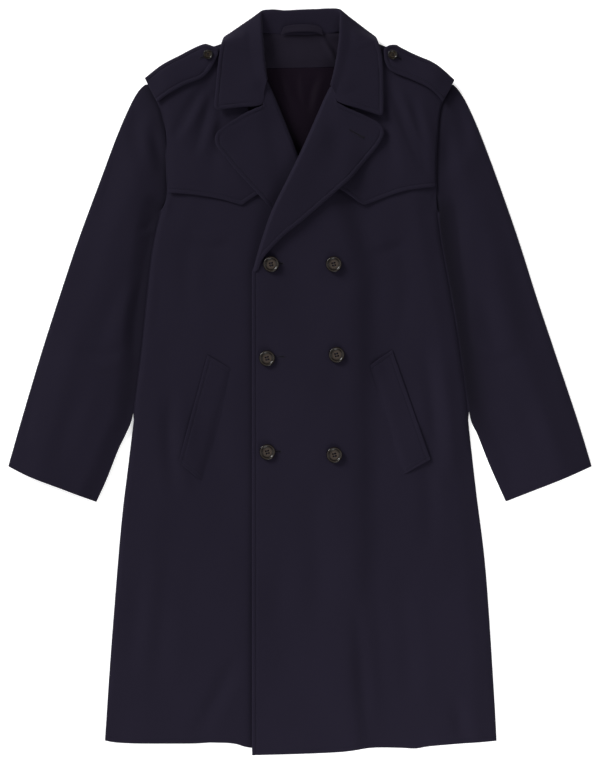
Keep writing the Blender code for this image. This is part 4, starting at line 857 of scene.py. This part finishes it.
rows, turns = [], np.array([section[12] for section in COLLAR_SECTIONS], float)
for section in COLLAR_SECTIONS:
    outer, leaf, fold, seam = np.array(section[:12], float).reshape(4, 3)
    away = (fold - seam)[:2] / np.linalg.norm((fold - seam)[:2])
    turn = math.radians(section[12])
    lean = np.array([*(away * math.sin(turn)), math.cos(turn)]) * FOLD_HALF_HEIGHT
    to_leaf, to_seam = leaf - fold, seam - fold
    stand_turn = fold - lean + to_seam / np.linalg.norm(to_seam) * FOLD_HALF_HEIGHT
    leaf_turn = fold + lean + to_leaf / np.linalg.norm(to_leaf) * FOLD_HALF_HEIGHT
    row = [seam, 0.5 * (seam + stand_turn), stand_turn, fold, leaf_turn, 0.6 * leaf_turn + 0.4 * leaf, leaf,
           0.5 * (leaf + outer), outer]
    rows.append(row)
middle = smoothed(np.array(rows), COLLAR_STEPS)
middle = smoothed(middle.transpose(1, 0, 2), COLLAR_STEPS).transpose(1, 0, 2)
turns = smoothed(turns[:, None, None], COLLAR_STEPS)
middle = np.dstack([middle, np.broadcast_to(TURN_SCALE * turns[..., 0], middle.shape[:2])])
middle = respaced(middle, COLLAR_SPACING, PLAIN_EDGE, STITCHED_EDGE)
middle = respaced(middle.transpose(1, 0, 2), COLLAR_SPACING, STITCHED_EDGE, STITCHED_EDGE).transpose(1, 0, 2)
in_front = soft_step(COLLAR_FRONT_TURN - middle[..., 3] / TURN_SCALE, COLLAR_FRONT_RANGE)
middle = middle[..., :3].copy()
under = [lower_front, lower_flap, upper_front, upper_flap]
over = resting(middle, under, COLLAR_REACH, COLLAR_WALL) + COLLAR_AIR - middle[..., 2]
to_ends = np.minimum(distance_to(middle[0, :, :2], middle), distance_to(middle[-1, :, :2], middle))
curl = COLLAR_CURL * fade(to_ends, COLLAR_CURL_WIDTH)
settled = 0.5 * (over + np.sqrt(over ** 2 + COLLAR_EASE))
middle[..., 2] += in_front * (settled + curl + uneven(middle, COLLAR_UNEVEN))
for row in (0, -1):
    rounded_corner(middle, row, COLLAR_CORNER)
columns = middle.shape[1]
leaf_part = np.clip((np.arange(columns) / columns - COLLAR_LEAF_FROM) / COLLAR_LEAF_OVER, 0, 1)[None, :]
sewn = np.vstack([middle[0, columns // 2:, :2], middle[1:-1, -1, :2], middle[-1, columns // 2:, :2][::-1]])
middle[..., 2] += leaf_part * margin(middle, sewn) * in_front
collar = cloth_piece("collar", middle, COLLAR_WALL, navy)
collar["sewn"] = sewn

# ---- Hanger loop ----------------------------------------------------------------------------------
# A narrow strip of the facing's cloth, folded and stitched along both edges. Its ends are sewn into
# the neck seam, and its middle stands a little off the collar's stand.
LOOP_WALL, LOOP_LIFT, LOOP_LIFT_WIDTH, LOOP_REACH = 1.2, 4.2, 9, 5
LOOP_AIR, LOOP_STITCH_IN = 0.3, 2.2
LOOP_TOP = ((-28, 556.5), (-25, 564), (-12, 567.5), (5, 568.5), (21, 567.5), (34, 563.5), (37, 556))
LOOP_LOW = ((-29, 551.5), (-19, 555), (4, 556.5), (24, 556), (38, 551))
plan = strip_plan(LOOP_TOP, LOOP_LOW, 1.6, step=1)
held = np.sin(math.pi * np.linspace(0, 1, plan.shape[1]))
rise = LOOP_LIFT * held * fade(distance_to(curve(LOOP_LOW), plan), LOOP_LIFT_WIDTH)
heights = resting(plan, [collar, facing], LOOP_REACH, LOOP_WALL) + LOOP_AIR + rise
loop = cloth_piece("hanger_loop", np.dstack([plan, heights]), LOOP_WALL, inside_cloth)
loop_lines = [moved_in(curve(line), way * LOOP_STITCH_IN)[3:-3] for line, way in ((LOOP_LOW, 1), (LOOP_TOP, -1))]

# ---- Pocket welts ---------------------------------------------------------------------------------
# Two slanting welts of gabardine over the side pockets. Each is stitched down at both short ends,
# twice at the lower one, and stands free along its outer edge.
WELT_WALL, WELT_SEAM_WALL, WELT_SEAM_TAPER = 1.1, 0.5, 16
WELT_SINK, WELT_SINK_WIDTH = 1.7, 7           # how far the seamed long side sinks into the front
WELT_GROOVE, WELT_GROOVE_WIDTH = 0.45, 1.0
WELT_ROWS = (4.0, 9.2)        # the two rows across its lower end, from that end
WELT_AIR, WELT_UNEVEN, WELT_REACH = 0.2, 0.3, 8
WELT_EDGE_LIFT, WELT_EDGE_WIDTH = 0.4, 12     # its free side stands up a little
WELTS = {"right": ((-146.5, 41.5), (-106.5, 17.5), (-193, -129.5), (-154.5, -161.5)),
         "left": ((113, 25.5), (148, 49.5), (164, -150.5), (209, -125))}
welts = {}
for side, front in (("right", lower_front), ("left", upper_front)):
    top_left, top_right, low_left, low_right = np.array(WELTS[side], float)
    edges = {"top": even((top_left, top_right), 1), "bottom": even((low_left, low_right), 1),
             "left": even((top_left, low_left), 2), "right": even((top_right, low_right), 2)}
    plan = spread_out(*edges.values(), spacing=3.2, stitched=("top", "bottom", "left", "right"))
    free, caught = [edges[name] for name in ("left", "right")[::TOWARD[side]]]
    form = resting(plan, [front], WELT_REACH, WELT_WALL) + WELT_AIR
    form = form + WELT_EDGE_LIFT * fade(distance_to(free[::4], plan), WELT_EDGE_WIDTH)
    lines = [moved_in(edges["top"], -STITCH_IN)] + [moved_in(edges["bottom"], away) for away in WELT_ROWS]
    form = form + uneven(plan, WELT_UNEVEN)
    form = form - WELT_GROOVE * fade(distance_to(free, plan) - STITCH_IN, WELT_GROOVE_WIDTH)
    for line in lines:
        form = form - WELT_GROOVE * fade(distance_to(line, plan), WELT_GROOVE_WIDTH)
    to_caught = distance_to(caught[::4], plan)
    form = form - WELT_SINK * fade(to_caught, WELT_SINK_WIDTH)
    wall = WELT_SEAM_WALL + (WELT_WALL - WELT_SEAM_WALL) * soft_step(to_caught, WELT_SEAM_TAPER)
    middle = np.dstack([plan, form - 0.5 * (WELT_WALL - wall)])
    welts[side] = cloth_piece("pocket_welt_" + side, middle, wall, navy)
    welts[side]["lines"] = [line[4:-4] for line in lines] + [moved_in(free, TOWARD[side] * STITCH_IN)]

# ---- Topstitching ---------------------------------------------------------------------------------
# One row of lockstitch in matching thread, a presser foot's width from every finished edge: collar,
# lapels, front edge, storm flaps, straps, welts and hanger loop. Each stitch is a short sunk spindle.
STITCH_PITCH, STITCH_LENGTH, THREAD_RADIUS, STITCH_ARCH = 3.1, 2.5, 0.24, 0.14
ROW_CLEARANCE = 0.96    # a row stays this share of its distance away from every part of its edge
# A thread's rings: share of its length, girth, and lift in arches. Each has four corners.
SPINDLE = ((0, 0.35, -1), (0.3, 0.95, 0.6), (0.7, 0.95, 0.6), (1, 0.35, -1))
SPINDLE_TURNS = [math.pi / 2 * corner for corner in range(4)]
NAVY_THREAD = (0.0105, 0.0088, 0.0165)


def plain_finish(name, colour, roughness, specular, bump_scale, bump_depth):
    """A finish with a fine mottle and grain: thread or horn."""
    finish, tree, shader = new_finish(name, {"Specular IOR Level": specular})
    place = add_node(tree, "ShaderNodeTexCoord").outputs["Object"]
    grain = noise(tree, place, bump_scale, 3)
    streaks = noise(tree, place, bump_scale / 6, 4, Distortion=1.5)
    tree.links.new(mixed(tree, streaks, toned(colour, 0.6), toned(colour, 1.5)), shader.inputs["Base Color"])
    tree.links.new(between(tree, grain, 0, 1, roughness - 0.08, roughness + 0.08), shader.inputs["Roughness"])
    bump = add_node(tree, "ShaderNodeBump", {"Height": grain, "Distance": bump_depth, "Strength": 0.5})
    tree.links.new(bump.outputs["Normal"], shader.inputs["Normal"])
    return finish


def top_of(cloth):
    """A tree of a piece's upper side, to drop points on it from above."""
    upper = cloth["upper"]
    return BVHTree.FromPolygons(upper.reshape(-1, 3).tolist(), quads(*upper.shape[:2]).tolist())


def dropped(tree, x, y):
    """The highest point of a piece at a place in plan, or None beside it."""
    return tree.ray_cast(Vector((x, y, 60)), Vector((0, 0, -1)))[0]


def bands(first, corners, rings):
    """The faces between rings of points that follow each other."""
    faces = []
    for start in range(first, first + corners * (rings - 1), corners):
        for corner in range(corners):
            a, b = start + corner, start + (corner + 1) % corners
            faces.append((a, b, b + corners, a + corners))
    return faces


def spindles(spans, radius, arch):
    """Points and faces of short threads between pairs of points, thickest and highest in the middle."""
    points, faces = [], []
    for start, end in spans:
        start, end = np.array(start), np.array(end)
        along = (end - start) / max(np.linalg.norm(end - start), 1e-6)
        beside = np.cross((0, 0, 1), along)
        beside = beside / max(np.linalg.norm(beside), 1e-6)
        up = np.cross(along, beside)
        first = len(points)
        for share, girth, lift in SPINDLE:
            centre = start + share * (end - start) + lift * arch * up
            for angle in SPINDLE_TURNS:
                points.append(centre + girth * radius * (math.cos(angle) * beside + math.sin(angle) * up))
        faces += bands(first, 4, 4)
        faces += [(first + 3, first + 2, first + 1, first), (first + 12, first + 13, first + 14, first + 15)]
    return points, faces


def stitched(name, cloth, lines, finish):
    """Rows of stitches along lines in plan, laid on a piece's upper side."""
    tree, spans = top_of(cloth), []
    for line in lines:
        marks = even(line, STITCH_PITCH)
        for a, b in zip(marks, marks[1:]):
            run = (b - a) * STITCH_LENGTH / STITCH_PITCH
            start, end = dropped(tree, *a), dropped(tree, *(a + run))
            if start and end and abs(start.z - end.z) < 2:
                spans.append((start, end))
    thread = mesh_object(name, *spindles(spans, THREAD_RADIUS, STITCH_ARCH), finish)
    fixed(thread)


def beside_edge(edge, direction):
    """The row of stitching beside an edge."""
    line = moved_in(even(edge, 1.5), direction * STITCH_IN)
    return line[distance_to(edge, line[None])[0] > ROW_CLEARANCE * STITCH_IN]


thread = plain_finish("thread", NAVY_THREAD, 0.6, 0.12, 900, 0.00004)
stitched("stitching_front_edge", upper_front, [beside_edge(front_edge, 1)], thread)
for side, flap, turned_back in (("right", lower_flap, lower_lapel), ("left", upper_flap, upper_lapel)):
    toward = TOWARD[side]
    stitched("stitching_storm_flap_" + side, flap, [beside_edge(flap["hem"], toward)[4:]], thread)
    stitched("stitching_lapel_" + side, turned_back, [beside_edge(turned_back["sewn"], toward)[:-6]], thread)
    stitched("stitching_epaulette_" + side, straps[side], [beside_edge(straps[side]["sewn"], -toward)], thread)
    stitched("stitching_pocket_welt_" + side, welts[side], welts[side]["lines"], thread)
stitched("stitching_collar", collar, [beside_edge(collar["sewn"], -1)], thread)
stitched("stitching_hanger_loop", loop, loop_lines, thread)

# ---- Buttonholes ----------------------------------------------------------------------------------
# Worked by machine: close stitches on both sides of a slit, where a near-black strip is painted shade in
# the opening. Three show beside the buttons of the lapped edge, one with an eyelet is on the upper lapel,
# and one shows past each shoulder strap's button.
BUTTONHOLE_PITCH, BUTTONHOLE_STITCH, BUTTONHOLE_THREAD, BUTTONHOLE_ARCH = 0.75, 1.9, 0.36, 0.1
STITCH_FROM = 0.35      # each stitch starts this far from the middle of the slit
SLIT_HALF, SLIT_DEEP, SLIT_UP = 0.4, 0.5, 0.12      # half width, depth, and how far it shows above the cloth
EYELET_RADIUS = 1.5
# The slit is painted shade: a near-black strip where the opening lies in shade.
SLIT_SHADE = (0.0025, 0.0020, 0.0030)
BUTTONHOLES = (
    ("front_1", upper_front, (-46, 187), (-26, 187), False),
    ("front_2", upper_front, (-50, 38.5), (-25, 38.5), False),
    ("front_3", upper_front, (-50, -112), (-30, -112), False),
    ("lapel", upper_lapel, (79.2, 400), (101.6, 387.2), True),
    ("strap_right", straps["right"], (-147, 517), (-158.5, 513), False),
    ("strap_left", straps["left"], (149, 517), (162, 511.5), False),
)
# The slit's finish is painted shade.
slit = plain_finish("buttonhole_slit", SLIT_SHADE, 0.8, 0.1, 600, 0.00003)
for name, cloth, start, end, has_eyelet in BUTTONHOLES:
    tree, ring = top_of(cloth), []
    start, end = np.array(start, float), np.array(end, float)
    along = (end - start) / np.linalg.norm(end - start)
    beside = np.array([-along[1], along[0]])
    for at in np.arange(0, np.linalg.norm(end - start), BUTTONHOLE_PITCH):
        for way in (1, -1):
            ring.append([start + along * at + way * out * beside
                         for out in (STITCH_FROM, STITCH_FROM + BUTTONHOLE_STITCH)])
    bulb, half_turn = (EYELET_RADIUS, 130) if has_eyelet else (SLIT_HALF, 75)
    for angle in np.radians(np.arange(-half_turn, half_turn + 1, 22)):
        spoke = math.cos(angle) * along + math.sin(angle) * beside
        ring.append((end + bulb * spoke, end + (bulb + BUTTONHOLE_STITCH) * spoke))
    spans = [(dropped(tree, *a), dropped(tree, *b)) for a, b in ring]
    spans = [span for span in spans if all(span)]
    worked = mesh_object("buttonhole_" + name, *spindles(spans, BUTTONHOLE_THREAD, BUTTONHOLE_ARCH), thread)
    outline = [start + SLIT_HALF * beside, start - SLIT_HALF * beside, end - SLIT_HALF * beside]
    if has_eyelet:
        outline += [end + 1.4 * (math.cos(t) * along + math.sin(t) * beside) for t in np.linspace(-2.4, 2.4, 13)]
    outline.append(end + SLIT_HALF * beside)
    drops = [dropped(tree, *point) for point in outline]
    top = [(*point, (drop.z if drop else 0) + SLIT_UP) for point, drop in zip(outline, drops)]
    bottom = [(x, y, z - SLIT_DEEP) for x, y, z in top]
    count = len(top)
    faces = [tuple(range(count)), tuple(range(2 * count - 1, count - 1, -1))]
    faces += [(a, d, c, b) for a, b, c, d in bands(0, count, 2)]
    opening = mesh_object("buttonhole_slit_" + name, top + bottom, faces, slit)
    for piece in (worked, opening):
        fixed(piece)

# ---- Buttons --------------------------------------------------------------------------------------
# Turned horn buttons with a raised rim, a polished bowl and four holes, sewn on with two bars of
# thread. Six are on the front; one smaller button holds each shoulder strap.
HORN, STRAP_HORN = (0.0320, 0.0252, 0.0210), (0.0190, 0.0145, 0.0105)
FRONT_BUTTONS = ((-45, 185.5), (-51.5, 36), (-51, -113), (54.5, 185.5), (59, 41.5), (55.5, -117.5))
STRAP_BUTTONS = {"right": (-145.5, 519), "left": (148, 518.5)}
FRONT_BUTTON_DIAMETER, STRAP_BUTTON_DIAMETER = 25.4, 15.0
BUTTON_SIDES = 64
SEWN_GAP = 0.4
# Half section from the middle of the back to the middle of the bowl: shares of the radius, out and up.
BUTTON_SECTION = ((0, 0), (0.66, 0), (0.86, 0.04), (0.96, 0.10), (1.0, 0.17), (0.985, 0.24), (0.94, 0.30),
                  (0.88, 0.325), (0.82, 0.32), (0.77, 0.29), (0.72, 0.245), (0.64, 0.21), (0.5, 0.19),
                  (0.25, 0.182), (0, 0.18))
HOLE_OFFSET, HOLE_RADIUS, HOLE_SIDES = 0.225, 0.115, 16
HOLE_ENDS = (-0.3, 0.7)      # below and above the button, as shares of its radius
SHANK_RADIUS, SHANK_ENDS = 1.6, (-0.6, 0.3)      # it runs from in the cloth into the button's back
REST_SHARE, BOWL_SHARE = 0.7, 0.2     # of the radius: where a button rests, and how high its bowl lies
BAR_SHARE, BAR_THREAD, BAR_APART, BAR_ARCH = 0.71, 0.016, 0.35, 0.3
# Painted light on the horn at shares of the radius: pale on the bowl and along the rim's top as painted reflection,
# dark in the groove and down the rim's outer side as painted shade.
HORN_PAINTED_LIGHT = ((0.01, 1.3), (0.36, 1.5), (0.55, 1.0), (0.68, 0.12), (0.77, 0.35), (0.85, 0.9), (0.91, 0.25),
              (0.98, 0.05))


def turned_horn(name, radius, colour):
    """Polished dark horn with painted light in rings: the bowl is painted pale as a reflection, and the rim and the
    groove inside it are painted dark as shade, with a pale line along the rim's top.
    """
    finish = plain_finish(name, colour, 0.24, 0.2, 300, 0.00002)
    tree = finish.node_tree
    shader = tree.nodes["Principled BSDF"]
    mottled = shader.inputs["Base Color"].links[0].from_socket
    place = add_node(tree, "ShaderNodeTexCoord").outputs["Object"]
    flat = add_node(tree, "ShaderNodeVectorMath", {0: place, 1: (1, 1, 0)}, operation="MULTIPLY").outputs[0]
    out = add_node(tree, "ShaderNodeVectorMath", {0: flat}, operation="LENGTH").outputs["Value"]
    share = between(tree, out, 0, radius * MM, 0, 1)
    # Rings of painted reflection and painted shade round the middle.
    rings = add_node(tree, "ShaderNodeValToRGB", {"Fac": share})
    ramp = rings.color_ramp
    for at, tone in HORN_PAINTED_LIGHT:
        stop = ramp.elements.new(at)
        stop.color = (tone, tone, tone, 1)
    ramp.elements.remove(ramp.elements[0])
    ramp.elements.remove(ramp.elements[-1])
    horn_with_painted_light = mixed(tree, 1.0, mottled, rings.outputs["Color"], blend_type="MULTIPLY")
    tree.links.new(horn_with_painted_light, shader.inputs["Base Color"])
    return finish


def circle(radius, height, sides, centre=(0, 0)):
    """Points of a level circle."""
    turns = [2 * math.pi * i / sides for i in range(sides)]
    return [(centre[0] + radius * math.cos(t), centre[1] + radius * math.sin(t), height) for t in turns]


def turned_button(name, radius, finish):
    """One button with its four holes drilled through, standing on its own back."""
    section = curve(BUTTON_SECTION, 0.035)
    section[0, 0] = section[-1, 0] = 0
    points = []
    for out, up in section[1:-1]:
        points += circle(radius * out, radius * up, BUTTON_SIDES)
    last_ring = len(points) - BUTTON_SIDES
    faces = bands(0, BUTTON_SIDES, len(section) - 2)
    points += [(0, 0, 0), (0, 0, radius * section[-1, 1])]
    for i in range(BUTTON_SIDES):
        after = (i + 1) % BUTTON_SIDES
        faces += [(after, i, len(points) - 2), (last_ring + i, last_ring + after, len(points) - 1)]
    disc = mesh_object(name, points, faces, finish)
    drills, hole_faces = [], []
    for turn in range(4):
        middle, first = math.pi / 4 + turn * math.pi / 2, len(drills)
        centre = radius * HOLE_OFFSET * math.cos(middle), radius * HOLE_OFFSET * math.sin(middle)
        for height in HOLE_ENDS:
            drills += circle(radius * HOLE_RADIUS, radius * height, HOLE_SIDES, centre)
        hole_faces += bands(first, HOLE_SIDES, 2)
        hole_faces += [tuple(range(first + HOLE_SIDES - 1, first - 1, -1)),
                       tuple(range(first + HOLE_SIDES, first + 2 * HOLE_SIDES))]
    drill = mesh_object(name + "_drill", drills, hole_faces, finish)
    cut = disc.modifiers.new("Holes", "BOOLEAN")
    cut.operation = "DIFFERENCE"
    cut.object = drill
    drilled = bpy.data.meshes.new_from_object(disc.evaluated_get(bpy.context.evaluated_depsgraph_get()))
    disc.modifiers.clear()
    disc.data = drilled
    drilled.set_sharp_from_angle(angle=math.radians(50))
    bpy.data.objects.remove(drill)
    return disc


horns = {FRONT_BUTTON_DIAMETER: turned_horn("horn_front", FRONT_BUTTON_DIAMETER / 2, HORN),
         STRAP_BUTTON_DIAMETER: turned_horn("horn_strap", STRAP_BUTTON_DIAMETER / 2, STRAP_HORN)}
holding = [("front_button_%d" % i, centre, FRONT_BUTTON_DIAMETER, upper_front)
           for i, centre in enumerate(FRONT_BUTTONS, 1)]
holding += [("epaulette_button_" + side, centre, STRAP_BUTTON_DIAMETER, straps[side])
            for side, centre in STRAP_BUTTONS.items()]
for name, centre, diameter, cloth in holding:
    radius, tree, centre = diameter / 2, top_of(cloth), np.array(centre, float)
    around = [dropped(tree, x, y) for x, y, z in circle(REST_SHARE * radius, 0, 12, centre)]
    base = max(point.z for point in around if point) + SEWN_GAP
    disc = turned_button(name + "_turned", radius, horns[diameter])
    turn = 0.3 * math.sin(7 * centre[0] + centre[1])
    disc.rotation_euler = (0, 0, turn)
    disc.location = np.array((*centre, base)) * MM
    spin = np.array(((math.cos(turn), -math.sin(turn)), (math.sin(turn), math.cos(turn))))
    bars, reach, bowl = [], BAR_SHARE * HOLE_OFFSET * radius, base + BOWL_SHARE * radius
    for out in (reach - BAR_APART, reach + BAR_APART, -reach - BAR_APART, -reach + BAR_APART):
        bars.append([(*(spin @ (x, out) + centre), bowl) for x in (-reach, reach)])
    sewing = mesh_object(name + "_thread", *spindles(bars, BAR_THREAD * diameter, BAR_ARCH), thread)
    shank_ends = (*centre, base - SEWN_GAP + SHANK_ENDS[0]), (*(centre + (0.01, 0)), base + SHANK_ENDS[1])
    shank = mesh_object(name + "_shank", *spindles([shank_ends], SHANK_RADIUS, 0.0), thread)
    for piece in (disc, sewing, shank):
        fixed(piece)
    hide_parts(name)

# ---- Studio ---------------------------------------------------------------------------------------
# The coat lies on a plain white floor under large soft lights, with a round white backdrop far away,
# and is seen from straight above. A soft lamp past the hem brightens the low end of the skirt.
FLOOR_RADIUS, FLOOR_LOW, FLOOR_SIDES, BACKDROP_HEIGHT = 12000, -0.3, 96, 14000
FLOOR_GLOW, BACKDROP_GLOW, WORLD_GLOW = 0.45, 1.0, 0.17
HEM_LIGHT_PLACE, HEM_LIGHT_AIM = (0.5, -1.7, 1.0), (0.3, -1.3, 1.0)     # metres; it shines against its aim
HEM_LIGHT_SIZE, HEM_LIGHT_POWER = 1.0, 19.0
CAMERA_PLACE = (0.0008, -0.0024, 3.4)
CAMERA_SENSOR, CAMERA_LENS = 36, 100
LAMP_AWAY = 3


def studio_paper(name, glow):
    """White paper, with a glow that keeps its shadows pale."""
    return new_finish(name, {"Base Color": (0.92, 0.92, 0.92, 1), "Roughness": 0.95,
                             "Emission Color": (1, 1, 1, 1), "Emission Strength": glow})[0]


low_ring = circle(FLOOR_RADIUS, FLOOR_LOW, FLOOR_SIDES)
high_ring = circle(FLOOR_RADIUS, BACKDROP_HEIGHT, FLOOR_SIDES)
floor = mesh_object("studio_floor", low_ring, [tuple(range(FLOOR_SIDES))], studio_paper("studio_paper", FLOOR_GLOW))
backdrop = mesh_object("studio_backdrop", low_ring + high_ring, bands(0, FLOOR_SIDES, 2),
                       studio_paper("studio_backdrop_paper", BACKDROP_GLOW))
backdrop.visible_diffuse = backdrop.visible_glossy = backdrop.visible_shadow = False

LIGHTS = (
    # name, turn from the collar's side towards the viewer's right, height above the floor, softness
    # (all in degrees), and what it adds to the light on the floor
    ("key_light", -48, 25, 22, 0.50),
    ("right_light", 80, 34, 44, 0.10),
    ("left_light", -95, 38, 40, 0.12),
    ("low_light", 165, 44, 60, 0.10),
)
for name, turn, height, softness, level in LIGHTS:
    light = bpy.data.lights.new(name, "SUN")
    turn, height = math.radians(turn), math.radians(height)
    light.energy = level * math.pi / math.sin(height)
    light.angle = math.radians(softness)
    toward = Vector((math.sin(turn) * math.cos(height), math.cos(turn) * math.cos(height), math.sin(height)))
    lamp = placed(name, light)
    lamp.location = LAMP_AWAY * toward
    lamp.rotation_euler = toward.to_track_quat("Z", "Y").to_euler()

light = bpy.data.lights.new("hem_light", "AREA")
light.shape, light.size, light.energy = "DISK", HEM_LIGHT_SIZE, HEM_LIGHT_POWER
lamp = placed("hem_light", light)
lamp.location = HEM_LIGHT_PLACE
lamp.rotation_euler = Vector(HEM_LIGHT_AIM).to_track_quat("Z", "Y").to_euler()
lamp.visible_camera = False

world = bpy.data.worlds.new("studio")
world.use_nodes = True
background = world.node_tree.nodes["Background"]
background.inputs["Color"].default_value = (1.0, 1.0, 1.0, 1)
background.inputs["Strength"].default_value = WORLD_GLOW
bpy.context.scene.world = world

camera_data = bpy.data.cameras.new("camera")
camera_data.sensor_fit = "VERTICAL"
camera_data.sensor_height = CAMERA_SENSOR
camera_data.lens = CAMERA_LENS
camera = placed("camera", camera_data)
camera.location = CAMERA_PLACE
bpy.context.scene.camera = camera
bpy.context.scene.view_settings.view_transform = "Standard"
